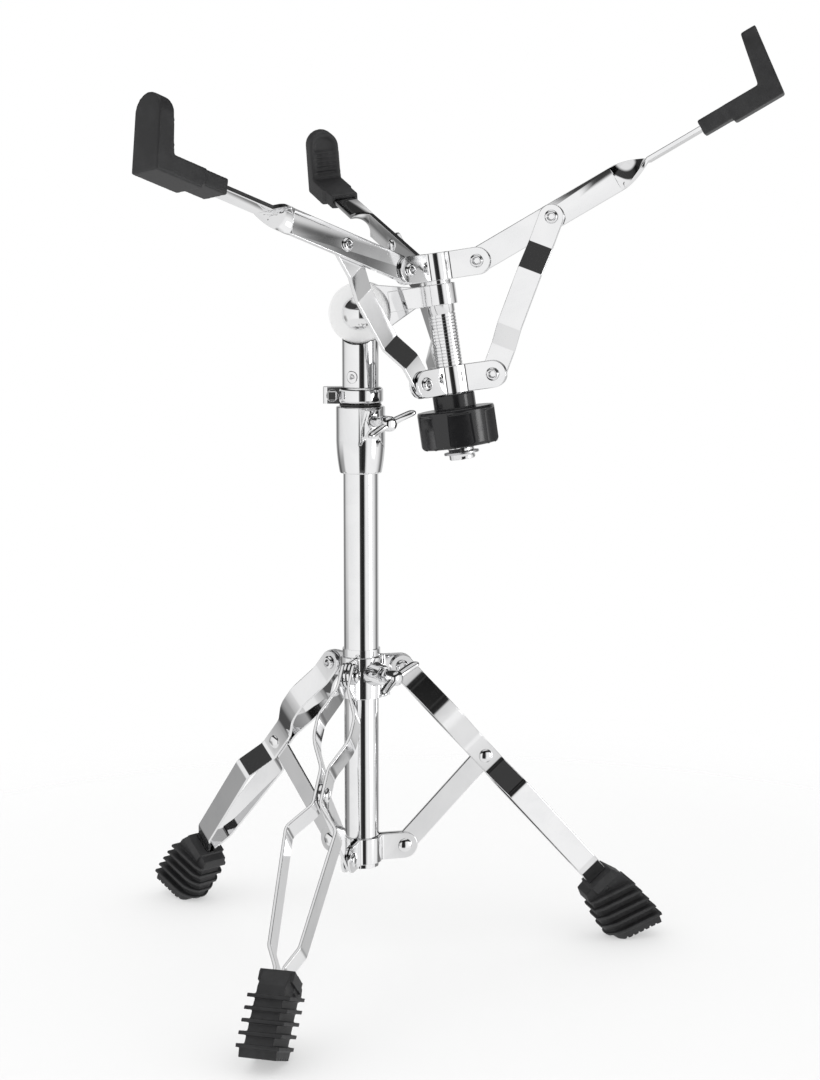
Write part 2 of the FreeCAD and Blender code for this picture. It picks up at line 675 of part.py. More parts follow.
def foot():
    """Finned rubber foot, in the plane of a leg at no turn."""
    nose = LEG_LENGTH - FOOT_NOSE_UP
    side = outline([leg_point(along, out) for along, out in [
        (FOOT_TOP, -FOOT_TOP_IN),
        (FOOT_TOP, FOOT_TOP_OUT),
        (LEG_LENGTH - FOOT_SHOULDER_UP, FOOT_SHOULDER_OUT),
        (LEG_LENGTH + FOOT_TOE_EDGE_PAST, FOOT_SHOULDER_OUT),
        (FOOT_TOE, FOOT_TOE_OUT),
        (FOOT_CONTACT, -FOOT_CONTACT_IN),
        (LEG_LENGTH + FOOT_HEEL_PAST, -FOOT_HEEL_IN),
        (LEG_LENGTH - FOOT_BACK_UP, -FOOT_BACK_IN),
        (nose, -FOOT_NOSE_TOP_IN),
    ]])
    nose_side = outline([leg_point(along, out) for along, out in [
        (FOOT_TOP, 0),
        (FOOT_TOP + FOOT_NOSE_DROP, -FOOT_NOSE_TOP_IN),
        (nose, -FOOT_NOSE_IN),
        (nose + FIN_THICK, -FOOT_NOSE_TOP_IN),
        (nose + FIN_THICK, 0),
    ]])
    contact = leg_point(FOOT_CONTACT, -FOOT_CONTACT_IN)
    sole = leg_point(FOOT_TOE, FOOT_TOE_OUT) - contact
    slope = math.degrees(math.atan2(sole.z, sole.x))
    tall = FOOT_TOE - FOOT_TOP
    long = 2 * sole.Length

    def layer(low, high):
        """Slab parallel to the sole."""
        slab = box(V(-long, -long, low), V(long, long, high))
        return turned(slab, -slope, Y_AXIS).translated(contact)

    fin_width = FOOT_WIDTH + 2 * FIN_OUT
    body = across(side, FOOT_WIDTH).common(foot_plan(FOOT_WIDTH, FOOT_HEEL_IN))
    flange = across(side, FOOT_FLANGE_WIDTH).common(foot_plan(FOOT_FLANGE_WIDTH, FOOT_HEEL_IN))
    flange = flange.common(layer(0, FOOT_FLANGE_H))
    fin_blank = across(side.makeOffset2D(FIN_OUT_ENDS), fin_width)
    fin_blank = fin_blank.common(foot_plan(fin_width, FOOT_HEEL_IN + FIN_OUT_ENDS))
    fin_lows = [FIN_FIRST + FIN_PITCH * index for index in range(FIN_COUNT)]
    fins = [fin_blank.common(layer(low, low + FIN_THICK)) for low in fin_lows]
    cap_low = V(FOOT_TOP, -FOOT_CAP_WIDTH / 2, -FOOT_TOP_IN)
    cap_high = V(FOOT_TOP + FOOT_CAP_H, FOOT_CAP_WIDTH / 2, FOOT_TOP_OUT)
    cap = to_leg(box(cap_low, cap_high))
    body = body.fuse([flange, cap, across(nose_side, FOOT_NOSE_WIDTH)] + fins).removeSplitter()

    pitch = sole.Length / (SOLE_GROOVES + 1)
    groove = outline([
        V(-pitch / 3, -FOOT_FLANGE_WIDTH, -SOLE_GROOVE_DEPTH),
        V(pitch / 3, -FOOT_FLANGE_WIDTH, -SOLE_GROOVE_DEPTH),
        V(0, -FOOT_FLANGE_WIDTH, SOLE_GROOVE_DEPTH),
    ]).extrude(V(0, 2 * FOOT_FLANGE_WIDTH, 0))
    places = [contact + sole * ((index + 1) / (SOLE_GROOVES + 1)) for index in range(SOLE_GROOVES)]
    grooves = [turned(groove, -slope, Y_AXIS).translated(place) for place in places]
    floor = box(V(0, -long, -tall), V(leg_point(FOOT_TOE, tall).x, long, 0))
    pocket_half = LEG_IN_FOOT + STRIP / 2 + RUN_GAP
    pocket_low = V(FOOT_TOP - FIN_OUT, -pocket_half, -LEG_WIDTH / 2 - RUN_GAP)
    pocket_high = V(LEG_LENGTH + RUN_GAP, pocket_half, LEG_WIDTH / 2 + RUN_GAP)
    return body.cut(grooves + [floor, to_leg(box(pocket_low, pocket_high))])


def height_collar():
    """Cast collar with a waisted skirt and a screw boss."""
    bore = BASE_TUBE_R + SEAT_GAP
    seat = BUSHING_R + RUN_GAP
    bottom, top = HEIGHT_COLLAR_BOTTOM, HEIGHT_COLLAR_TOP
    boss_low = top - HEIGHT_BOSS_DOWN
    foot_edge = V(HEIGHT_COLLAR_FOOT_R, 0, bottom)
    waist = V(HEIGHT_COLLAR_TOP_R, 0, (bottom + top) / 2)
    swell_radius = HEIGHT_COLLAR_FOOT_R + HEIGHT_COLLAR_SWELL * (HEIGHT_COLLAR_TOP_R - HEIGHT_COLLAR_FOOT_R)
    swell = V(swell_radius, 0, (3 * bottom + top) / 4)
    rim = V(HEIGHT_COLLAR_TOP_R, 0, top)
    skirt = Part.Wire([
        Part.makeLine(V(0, 0, bottom), foot_edge),
        Part.Arc(foot_edge, swell, waist).toShape(),
        Part.makeLine(waist, rim),
        Part.makeLine(rim, V(0, 0, top)),
        Part.makeLine(V(0, 0, top), V(0, 0, bottom)),
    ])
    body = Part.Face(skirt).revolve(ORIGIN, Z_AXIS, 360)
    boss_face = outline([
        V(0, 0, top - BUSHING_FLANGE_H),
        V(HEIGHT_BOSS_END, 0, top - BUSHING_FLANGE_H),
        V(HEIGHT_BOSS_END, 0, boss_low + HEIGHT_BOSS_DOWN / 4),
        V(HEIGHT_COLLAR_FOOT_R, 0, boss_low - HEIGHT_BOSS_DOWN / 4),
        V(0, 0, boss_low - HEIGHT_BOSS_DOWN / 4),
    ])
    root = HEIGHT_COLLAR_TOP_R - HEIGHT_BOSS_INSET
    pear = slot_face(ORIGIN, root, V(HEIGHT_BOSS_OUT, 0, 0), HEIGHT_BOSS_R)
    boss = across(boss_face, 2 * root)
    boss = boss.common(moved(pear.extrude(V(0, 0, HEIGHT_COLLAR_H)), z=bottom))
    body = body.fuse(turned(boss, HEIGHT_SCREW_TURN)).removeSplitter()
    hole = moved(cylinder(SCREW_R + RUN_GAP, 0, 2 * HEIGHT_BOSS_END, X_AXIS), z=HEIGHT_SCREW_Z)
    bores = [cylinder(bore, bottom, top), cylinder(seat, TUBE_TOP, top)]
    return body.cut(bores + [turned(hole, HEIGHT_SCREW_TURN)])


def height_wing_screw():
    body = wing_screw(BUSHING_R + SIDE_GAP, HEIGHT_BOSS_END + HEIGHT_SCREW_STANDOFF)
    return turned(moved(turned(body, HEIGHT_WING_TURN, X_AXIS), z=HEIGHT_SCREW_Z), HEIGHT_SCREW_TURN)


def nylon_bushing():
    bore = UPPER_TUBE_R + RUN_GAP
    sleeve = tube(bore, BUSHING_R, TUBE_TOP + SIDE_GAP, BUSHING_TOP)
    flange = tube(bore, BUSHING_FLANGE_R, BUSHING_TOP - BUSHING_FLANGE_H, BUSHING_TOP)
    return sleeve.fuse(flange).removeSplitter()


def upper_tube():
    return tube(UPPER_TUBE_R - UPPER_TUBE_WALL, UPPER_TUBE_R, UPPER_TUBE_BOTTOM, UPPER_TUBE_TOP)


def memory_lock():
    """Split clamp ring with a lug for its key screw."""
    low, high = LOCK_BOTTOM, LOCK_BOTTOM + LOCK_H
    half = LOCK_LUG_WIDTH / 2
    ring = cylinder(LOCK_R, low, high)
    rims = [edge for edge in ring.Edges if edge.Closed]
    ring = ring.makeFillet(LOCK_ROUND, rims)
    lug = box(V(0, -half, low), V(LOCK_LUG_OUT, half, high))
    outer = [edge for edge in lug.Edges if edge.CenterOfMass.x > LOCK_LUG_OUT - SEAT_GAP and
             abs(edge.CenterOfMass.y) > half - SEAT_GAP]
    lug = lug.makeFillet(half / 2, outer)
    body = ring.fuse(lug).removeSplitter()
    slit = box(V(0, -LOCK_SLIT / 2, low), V(LOCK_LUG_OUT, LOCK_SLIT / 2, high))
    bore = cylinder(UPPER_TUBE_R + SEAT_GAP, low, high)
    screw_hole = moved(cylinder(LOCK_SCREW_R + RUN_GAP, -2 * half, 2 * half, Y_AXIS), x=LOCK_SCREW_OUT,
                       z=low + LOCK_H / 2)
    return turned(body.cut([slit, bore, screw_hole]), LOCK_TURN)


def memory_lock_screw():
    """Square-headed key screw across the lug."""
    half = LOCK_LUG_WIDTH / 2
    shank = cylinder(LOCK_SCREW_R, -half - LOCK_SCREW_R / 2, half, Y_AXIS)
    flange = cylinder(LOCK_SCREW_FLANGE_R, half, half + LOCK_SCREW_R / 2, Y_AXIS)
    size = LOCK_SCREW_R
    head = box(V(-size, half, -size), V(size, half + LOCK_SCREW_HEAD_H, size))
    body = shank.fuse([flange, head]).removeSplitter()
    return turned(moved(body, x=LOCK_SCREW_OUT, z=LOCK_BOTTOM + LOCK_H / 2), LOCK_TURN)


def tilter_socket():
    """Sleeve over the upper tube, saddled under the tilter."""
    body = cylinder(SOCKET_R, SOCKET_BOTTOM, TILTER_Z)
    saddle = moved(cylinder(TILTER_R + SEAT_GAP, -2 * SOCKET_R, 2 * SOCKET_R, Y_AXIS), z=TILTER_Z)
    bore = cylinder(UPPER_TUBE_R + SEAT_GAP, SOCKET_BOTTOM, TILTER_Z)
    return body.cut([saddle, bore, socket_rivet_bar(SOCKET_RIVET_R + SEAT_GAP)])


def socket_rivet_bar(radius):
    start = UPPER_TUBE_R + SEAT_GAP
    rod = cylinder(radius, start, SOCKET_R + SOCKET_RIVET_R / 2, X_AXIS)
    return turned(moved(rod, z=SOCKET_BOTTOM + SOCKET_RIVET_UP), SOCKET_RIVET_TURN)


def socket_rivet():
    dimple = cylinder(SOCKET_RIVET_R / 2, SOCKET_R, 2 * SOCKET_R, X_AXIS)
    placed = turned(moved(dimple, z=SOCKET_BOTTOM + SOCKET_RIVET_UP), SOCKET_RIVET_TURN)
    return socket_rivet_bar(SOCKET_RIVET_R).cut(placed)


def tooth_gaps(face_place):
    """Radial V grooves of a ratchet face that is square to Y."""
    half = math.pi * TILTER_RATCHET_R / TILTER_TEETH
    groove = outline([
        V(0, face_place, half),
        V(0, face_place, -half),
        V(0, face_place - TILTER_TOOTH, 0),
    ]).extrude(V(2 * TILTER_R, 0, 0))
    return [turned(groove, 360 * index / TILTER_TEETH, Y_AXIS) for index in range(TILTER_TEETH)]


def at_tilter(shape):
    return moved(shape, z=TILTER_Z)


def tilter_bore():
    return cylinder(TILTER_BOLT_R + RUN_GAP, TILTER_DISC_FRONT, TILTER_CUP_BACK, Y_AXIS)


def tilter_cup():
    """Fixed half of the ratchet, with its teeth towards the arm plate."""
    body = cylinder(TILTER_R, TILTER_CUP_FRONT, TILTER_CUP_BACK, Y_AXIS)
    rear = [edge for edge in body.Edges if edge.CenterOfMass.y > TILTER_CUP_BACK - SEAT_GAP]
    body = body.makeFillet(TILTER_DISC_ROUND, rear)
    teeth = [turned(gap, 180, X_AXIS) for gap in tooth_gaps(-TILTER_CUP_FRONT)]
    return at_tilter(body.cut(teeth + [tilter_bore()]))


def tilter_ratchet():
    """Moving half of the ratchet, on the back of the arm plate."""
    body = cylinder(TILTER_RATCHET_R, TILTER_ARM_THICK / 2, TILTER_RATCHET_BACK, Y_AXIS)
    return to_basket(moved(body.cut(tooth_gaps(TILTER_RATCHET_BACK) + [tilter_bore()]), x=-ROD_OFFSET))


def tilter_disc():
    """Round nylon disc between the bolt's dome and the arm plate."""
    body = cylinder(TILTER_DISC_R, TILTER_DISC_FRONT, TILTER_FRONT, Y_AXIS)
    front = [edge for edge in body.Edges if edge.CenterOfMass.y < TILTER_DISC_FRONT + SEAT_GAP]
    body = body.makeFillet(TILTER_DISC_ROUND, front)
    return to_basket(moved(body.cut(tilter_bore()), x=-ROD_OFFSET))


def tilter_bolt():
    """Domed bolt through the tilter."""
    ball = (TILTER_DOME_R**2 + TILTER_DOME_H**2) / (2 * TILTER_DOME_H)
    crown = TILTER_DISC_FRONT - TILTER_DOME_H
    dome = moved(Part.makeSphere(ball), y=crown + ball)
    dome = dome.common(cylinder(TILTER_DOME_R, crown, TILTER_DISC_FRONT, Y_AXIS))
    shank = cylinder(TILTER_BOLT_R, TILTER_DISC_FRONT, TILTER_NUT_BACK + TILTER_BOLT_PAST_NUT, Y_AXIS)
    return to_basket(moved(dome.fuse(shank).removeSplitter(), x=-ROD_OFFSET))


def tilter_washer():
    front = TILTER_WASHER_BACK - TILTER_WASHER_THICK
    body = tube(TILTER_BOLT_R + RUN_GAP, TILTER_WASHER_R, front, TILTER_WASHER_BACK, Y_AXIS)
    return to_basket(moved(body, x=-ROD_OFFSET))


def tilter_wing_nut():
    hub = cylinder(TILTER_NUT_R, TILTER_NUT_FRONT, TILTER_NUT_BACK, Y_AXIS)
    rear = [edge for edge in hub.Edges if edge.CenterOfMass.y > TILTER_NUT_BACK - SEAT_GAP]
    hub = hub.makeFillet(TILTER_NUT_R / 4, rear)
    blades = [turned(blade, 90) for blade in wing(TILTER_NUT_FRONT + TILTER_NUT_WING_AT)]
    bore = cylinder(TILTER_BOLT_R + RUN_GAP, TILTER_NUT_FRONT, TILTER_NUT_BACK + WING_REACH, Y_AXIS)
    body = hub.fuse(blades).removeSplitter().cut(bore)
    return to_basket(moved(turned(body, TILTER_NUT_WING_TURN, Y_AXIS), x=-ROD_OFFSET))


def tilter_arm():
    """Tapered plate from the tilter to the strap on the rod."""
    tip = V(TILTER_ARM_REACH, STRAP_UP, 0)
    body = plate(slot_face(ORIGIN, TILTER_ARM_ROUND, tip, TILTER_ARM_TIP_R), TILTER_ARM_THICK)
    return to_basket(moved(body.cut(tilter_bore()), x=-ROD_OFFSET))


def tilter_strap():
    """Strap round the rod, with both tails gripping the arm plate."""
    hug = ROD_R + SEAT_GAP + STRAP_THICK / 2
    tail = TILTER_ARM_THICK / 2 + SEAT_GAP + STRAP_THICK / 2
    points, radii = hug_line(360, hug, tail, STRAP_REACH)
    body = strip(points, radii, STRAP_THICK, STRAP_HEIGHT)
    return to_basket(moved(turned(body, 180), z=STRAP_UP))


def basket_rod():
    body = cylinder(ROD_R, ROD_BOTTOM, ROD_TOP)
    body = body.makeChamfer(KNOB_EDGE, [body.Edges[2]])
    groove = tube(ROD_R - CLIP_DEPTH, 2 * ROD_R, clip_low(), clip_low() + CLIP_THICK)
    return to_basket(body.cut(groove))


def clip_low():
    return (ROD_BOTTOM + KNOB_BOTTOM - CLIP_THICK) / 2


def rod_clip():
    """Open retaining ring in the groove near the rod's lower end."""
    inner = ROD_R - CLIP_DEPTH + SEAT_GAP
    ring = tube(inner, CLIP_R, clip_low() + SEAT_GAP, clip_low() + CLIP_THICK - SEAT_GAP)
    mouth = box(V(0, -CLIP_MOUTH / 2, clip_low()), V(CLIP_R, CLIP_MOUTH / 2, clip_low() + CLIP_THICK))
    return to_basket(turned(ring.cut(mouth), arm_turn(1)))


def basket_spider_plates(height, gap):
    """Three stamped plates round the rod, with a gap between them and the rod."""
    hug = ROD_R + gap + PLATE / 2
    low = height - BASKET_EAR_R
    high = height + BASKET_EAR_R
    pivot = V(BASKET_PIVOT_R, 0, height)
    stamped = spider_plate(ARM_COUNT, hug, BASKET_EAR_OFFSET, pivot, BASKET_EAR_R,
                           BASKET_PIVOT_R, low, high)
    return [to_basket(piece) for piece in spread(stamped, ARM_COUNT)]


def upper_spider_rivets():
    seat = ARM_HALF_GAP + PLATE
    return [to_basket(piece) for piece in spread(rivet(-seat, seat).translated(ARM_PIVOT), ARM_COUNT)]


def lower_spider_rivets():
    stubs = clevis_stubs(ARM_HALF_GAP, ARM_HALF_GAP + PLATE, LINK_FOOT)
    return [to_basket(piece) for stub in stubs for piece in spread(stub, ARM_COUNT)]


def arm():
    """Flat bar, upright at the pivot and twisted flat towards the grip."""
    half = ARM_WIDTH / 2
    inner = bar(ARM_WIDTH, ARM_TWIST_FROM, ARM_THICK)
    inner = inner.cut(box(V(ARM_TWIST_FROM, -half, -half), V(ARM_TWIST_FROM + half, half, half)))
    inner = inner.cut(moved(cylinder(RIVET_R + SEAT_GAP, -half, half, Y_AXIS), x=ARM_LINK_HOLE))
    section = Part.makePolygon([
        V(0, -ARM_THICK / 2, -half),
        V(0, ARM_THICK / 2, -half),
        V(0, ARM_THICK / 2, half),
        V(0, -ARM_THICK / 2, half),
        V(0, -ARM_THICK / 2, -half),
    ])
    sections = []
    for index in range(ARM_TWIST_SECTIONS):
        share = index / (ARM_TWIST_SECTIONS - 1)
        place = ARM_TWIST_FROM + ARM_TWIST_LENGTH * share
        sections.append(moved(turned(section, -90 * share, X_AXIS), x=place))
    twist = Part.makeLoft(sections, True)
    twist_end = ARM_TWIST_FROM + ARM_TWIST_LENGTH
    strap = box(V(twist_end, -half, -ARM_THICK / 2), V(ARM_LENGTH, half, ARM_THICK / 2))
    return to_arm(inner.fuse([twist, strap]))


def link_rivet():
    left = ARM_THICK / 2
    right = -LINK_TOP_OFFSET - LINK_THICK / 2 - SIDE_GAP
    return to_arm(moved(rivet(right, left), x=ARM_LINK_HOLE))


def link():
    """Joggled flat bar from the lower spider to the arm's side."""
    half = LINK_WIDTH / 2
    lower_from, lower_to = LINK_LOWER_JOG
    upper_from, upper_to = LINK_UPPER_JOG
    points = [
        V(-half, 0, 0),
        V(lower_from, 0, 0),
        V(lower_to, -LINK_BOW, 0),
        V(LINK_LENGTH - upper_from, -LINK_BOW, 0),
        V(LINK_LENGTH - upper_to, -LINK_TOP_OFFSET, 0),
        V(LINK_LENGTH + half, -LINK_TOP_OFFSET, 0),
    ]
    body = strip(points, [LINK_BEND] * (len(points) - 2), LINK_THICK, LINK_WIDTH)
    wide = 2 * LINK_BOW
    round_end = cylinder(half, -wide, wide, Y_AXIS)
    lower_end = box(V(-LINK_WIDTH, -wide, -half), V(0, wide, half)).cut(round_end)
    upper_end = moved(turned(lower_end, 180), x=LINK_LENGTH)
    hole = moved(cylinder(RIVET_R + RUN_GAP, -wide, wide, Y_AXIS), x=LINK_LENGTH)
    rise = LINK_TOP - LINK_FOOT
    slope = math.degrees(math.atan2(rise.z, rise.x))
    return turned(body.cut([lower_end, upper_end, hole]), -slope, Y_AXIS).translated(LINK_FOOT)


def grip():
    """Rubber sleeve over the arm's end with an upright pad."""
    half_sleeve = GRIP_SLEEVE_WIDTH / 2
    half_pad = GRIP_PAD_WIDTH / 2
    sleeve_top = GRIP_SLEEVE_H / 2
    back = GRIP_PAD_FACE + GRIP_PAD_THICK
    lip_top = -sleeve_top - GRIP_LIP_GAP
    lip_bottom = lip_top - GRIP_LIP_THICK
    sleeve = box(V(GRIP_FROM, -half_sleeve, -sleeve_top), V(back, half_sleeve, sleeve_top))
    wide = box(V(ARM_LENGTH - GRIP_WIDE_BACK, -half_pad, -sleeve_top), V(back, half_pad, sleeve_top))
    lip = box(V(ARM_LENGTH - GRIP_LIP_BACK, -half_pad, lip_bottom), V(back, half_pad, lip_top))
    crown = GRIP_PAD_TOP - half_pad
    face_run = (GRIP_PAD_TOP - sleeve_top) * tan(GRIP_FACE_LEAN)
    back_run = (GRIP_PAD_TOP - lip_bottom) * tan(GRIP_PAD_LEAN)
    far = back + back_run
    pad_side = outline([
        V(GRIP_PAD_FACE, -half_pad, lip_bottom),
        V(GRIP_PAD_FACE, -half_pad, sleeve_top),
        V(GRIP_PAD_FACE + face_run, -half_pad, GRIP_PAD_TOP),
        V(far, -half_pad, GRIP_PAD_TOP),
        V(back, -half_pad, lip_bottom),
    ]).extrude(V(0, GRIP_PAD_WIDTH, 0))
    arch = box(V(GRIP_PAD_FACE, -half_pad, lip_bottom), V(far, half_pad, crown))
    arch = arch.fuse(moved(cylinder(half_pad, GRIP_PAD_FACE, far, X_AXIS), z=crown)).removeSplitter()
    pad = pad_side.common(arch)
    body = sleeve.fuse([wide, lip, pad]).removeSplitter()
    panel_half = half_pad - GRIP_PANEL_INSET
    panel_low = GRIP_PANEL_INSET
    panel_top = crown - sleeve_top
    panel = box(V(-GRIP_PAD_THICK, -panel_half, panel_low), V(GRIP_PANEL_DEPTH, panel_half, panel_top))
    panel = panel.fuse(moved(cylinder(panel_half, -GRIP_PAD_THICK, GRIP_PANEL_DEPTH, X_AXIS), z=panel_top))
    pitch = (panel_top - panel_low) / (GRIP_RIBS + 1)
    for index in range(GRIP_RIBS):
        low = panel_low + pitch * (index + 1) - GRIP_RIB / 2
        rib = box(V(-GRIP_PAD_THICK, -panel_half, low), V(GRIP_PANEL_DEPTH, panel_half, low + GRIP_RIB))
        panel = panel.cut(rib)
    panel = moved(turned(panel, GRIP_FACE_LEAN, Y_AXIS), x=GRIP_PAD_FACE, z=sleeve_top)
    pocket_half = ARM_WIDTH / 2 + SEAT_GAP
    pocket_up = ARM_THICK / 2 + SEAT_GAP
    pocket = box(V(GRIP_FROM, -pocket_half, -pocket_up), V(ARM_LENGTH + SEAT_GAP, pocket_half, pocket_up))
    return to_arm(body.cut([panel, pocket]))


def tension_knob():
    """Fluted knob with a neck, threaded on the rod under the lower spider."""
    shoulder = KNOB_TOP - KNOB_NECK_H
    body = revolved([
        (0, KNOB_TOP),
        (KNOB_NECK_R, KNOB_TOP),
        (KNOB_NECK_R, shoulder),
        (KNOB_R - KNOB_EDGE / 2, shoulder),
        (KNOB_R, shoulder - KNOB_EDGE / 2),
        (KNOB_R, KNOB_BOTTOM + KNOB_EDGE),
        (KNOB_R - KNOB_EDGE, KNOB_BOTTOM),
        (0, KNOB_BOTTOM),
    ])
    chord_half = KNOB_R * sin(KNOB_FLUTE_ANGLE / 2)
    hollow = KNOB_FLUTE_DEPTH - KNOB_R * (1 - cos(KNOB_FLUTE_ANGLE / 2))
    flute_radius = (chord_half**2 + hollow**2) / (2 * hollow)
    flute = cylinder(flute_radius, KNOB_BOTTOM, shoulder - KNOB_RIM)
    flute = moved(flute, x=KNOB_R - KNOB_FLUTE_DEPTH + flute_radius)
    bore = cylinder(ROD_R + RUN_GAP, KNOB_BOTTOM, KNOB_TOP)
    return to_basket(body.cut(spread(flute, KNOB_FLUTES, KNOB_FLUTE_TURN) + [bore]))


def save(name, shape):
    """Write one node, set about the middle of the stand's outline."""
    solids = shape if isinstance(shape, list) else [shape]
    bodies = [solid for piece in solids for solid in piece.Solids]
    whole = bodies[0] if len(bodies) == 1 else Part.makeCompound(bodies)
    moved(whole, x=MAST_X, y=MAST_Y).exportStep("parts/%s.step" % name)


def save_legs():
    leg, rubber, pin, brace = leg_strips(), foot(), strut_rivet(), strut()
    for index in range(LEG_COUNT):
        number = index + 1
        turn = leg_turn(index)
        save("leg_strips_%d" % number, [turned(to_leg(half), turn) for half in leg])
        save("foot_%d" % number, turned(rubber, turn))
        save("strut_rivet_%d" % number, turned(pin, turn))
        save("strut_%d" % number, turned(brace, turn))


def save_arms():
    pieces = {"arm": arm(), "grip": grip(), "link_rivet": link_rivet(), "link": link()}
    for index in range(ARM_COUNT):
        for name, piece in pieces.items():
            save("%s_%d" % (name, index + 1), to_basket(turned(piece, arm_turn(index))))


def main():
    os.makedirs("parts", exist_ok=True)
    save("base_tube", base_tube())
    save("leg_spider_plates", leg_spider_plates())
    save("leg_spider_rivets", leg_spider_rivets())
    save("collar_sleeve", collar_sleeve())
    save("collar_plates", collar_plates())
    save("collar_boss", collar_boss())
    save("leg_pivot_rivets", leg_pivot_rivets())
    save("leg_wing_screw", leg_wing_screw())
    save_legs()
    save("height_collar", height_collar())
    save("height_wing_screw", height_wing_screw())
    save("nylon_bushing", nylon_bushing())
    save("upper_tube", upper_tube())
    save("memory_lock", memory_lock())
    save("memory_lock_screw", memory_lock_screw())
    save("tilter_socket", tilter_socket())
    save("socket_rivet", socket_rivet())
    save("tilter_cup", tilter_cup())
    save("tilter_ratchet", tilter_ratchet())
    save("tilter_disc", tilter_disc())
    save("tilter_bolt", tilter_bolt())
    save("tilter_washer", tilter_washer())
    save("tilter_wing_nut", tilter_wing_nut())
    save("tilter_arm", tilter_arm())
    save("tilter_strap", tilter_strap())
    save("basket_rod", basket_rod())
    save("rod_clip", rod_clip())
    save("upper_spider_plates", basket_spider_plates(BASKET_SPIDER_UP, SEAT_GAP))
    save("upper_spider_rivets", upper_spider_rivets())
    save("lower_spider_plates", basket_spider_plates(LINK_FOOT.z, RUN_GAP))
    save("lower_spider_rivets", lower_spider_rivets())
    save_arms()
    save("tension_knob", tension_knob())


main()
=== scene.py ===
import json
import math

import bmesh
import bpy
from bpy.props import FloatProperty, FloatVectorProperty, IntProperty, PointerProperty
from mathutils import Matrix, Vector

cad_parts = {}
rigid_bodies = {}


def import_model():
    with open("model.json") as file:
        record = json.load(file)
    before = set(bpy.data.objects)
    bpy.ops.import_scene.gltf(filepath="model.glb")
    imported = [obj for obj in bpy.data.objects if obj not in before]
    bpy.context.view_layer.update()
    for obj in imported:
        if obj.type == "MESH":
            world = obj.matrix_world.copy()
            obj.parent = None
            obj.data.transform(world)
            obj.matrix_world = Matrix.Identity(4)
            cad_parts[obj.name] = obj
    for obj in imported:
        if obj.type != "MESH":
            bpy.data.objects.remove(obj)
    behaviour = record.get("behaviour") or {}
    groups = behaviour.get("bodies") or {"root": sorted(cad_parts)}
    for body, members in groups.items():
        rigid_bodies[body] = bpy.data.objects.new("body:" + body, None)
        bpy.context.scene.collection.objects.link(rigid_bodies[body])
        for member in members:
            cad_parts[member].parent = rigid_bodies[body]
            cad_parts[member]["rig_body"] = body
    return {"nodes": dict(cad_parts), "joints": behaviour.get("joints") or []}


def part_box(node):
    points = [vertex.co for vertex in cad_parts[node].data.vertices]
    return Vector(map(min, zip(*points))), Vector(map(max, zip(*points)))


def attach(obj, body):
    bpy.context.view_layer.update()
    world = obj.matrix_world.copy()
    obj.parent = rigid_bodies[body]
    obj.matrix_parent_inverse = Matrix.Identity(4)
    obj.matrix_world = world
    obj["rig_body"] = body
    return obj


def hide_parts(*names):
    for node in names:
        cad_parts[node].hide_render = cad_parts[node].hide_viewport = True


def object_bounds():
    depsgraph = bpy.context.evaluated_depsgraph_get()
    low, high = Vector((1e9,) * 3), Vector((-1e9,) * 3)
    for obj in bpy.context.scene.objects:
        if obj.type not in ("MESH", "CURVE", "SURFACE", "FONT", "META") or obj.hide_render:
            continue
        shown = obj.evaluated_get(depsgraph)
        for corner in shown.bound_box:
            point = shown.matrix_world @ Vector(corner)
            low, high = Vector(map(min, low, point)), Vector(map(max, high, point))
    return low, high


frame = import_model()
cad_box = [list(corner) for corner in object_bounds()]

bl_info = {
    "name": "Snare Drum Stand",
    "version": (1, 0, 0),
    "blender": (4, 5, 0),
    "location": "3D View > Sidebar > Drum Stand",
    "description": "Finishes a folding snare drum stand in chrome, rubber and nylon, "
                   "and sets its stage",
    "category": "Object",
}

# Numbers of the legs, arms, struts and links
NUMBERS = (1, 2, 3)

# Points nearer than WELD metres are one, faces that turn less than FLAT make one face,
# and edges that turn more than CREASE are sharp
WELD = 1e-6
FLAT = math.radians(0.4)
CREASE = math.radians(32)

# Faces across a rounded edge, on thin and on strong pieces
THIN_STEPS = 2
STRONG_STEPS = 3

# Rubber: how far each step relaxes the skin, and the share of its faces that stays
RELAX_SHARE = 0.5
MOULD_SHARE = 0.25

# Points round the turned pieces, and steps up a dome
DIMPLE_POINTS = 32
SHANK_POINTS = 32
HUB_POINTS = 40
RIVET_POINTS = 40
ROD_POINTS = 64
DOME_STEPS = 8

# Hub and shank of a wing screw, as parts of their radius
HUB_CHAMFER = 0.12
HUB_DOME = 0.55
HUB_FLAT = 0.25
SHANK_CHAMFER = 0.2

# Wings: points round a section, sections along a wing, the power that squares a section,
# and the least that is left of the tip's section, as the square of a share
WING_POINTS = 20
WING_SECTIONS = 16
WING_SQUARING = 0.8
WING_TIP_LEAST = 0.0004

# Section of a thread: part of the pitch, and height from root to crest
THREAD_SECTION = ((0.02, 0.0), (0.13, 1.0), (0.83, 1.0), (0.94, 0.0))

# Plastic: how its flow lines are paler, and the parts of flow lines, marks and skin in its finish
PALE_GAIN = 1.12
PALE_LIFT = 0.004
FLOW_TINT = 0.6
MARK_TINT = 0.3
MARK_ROUGHNESS = 0.1
SKIN_RELIEF = 0.4
FLOW_RELIEF = 0.6
PLASTIC_DEPTH = 0.0005

# Floor, lamp and camera, in metres, watts and millimetres of film
FLOOR_POINTS = 96
FLOOR_DROP = 0.0003
FLOOR_ROUGHNESS = 0.7
FLOOR_UNEVEN = 0.1
LAMP_PLACE = (-0.9, -1.1, 1.6)
LAMP_AIM = (0, 0, 0.25)
LAMP_SIZE = 1.2
LAMP_POWER = 3.0
FILM_WIDTH = 36.0

FULL_TURN = 360

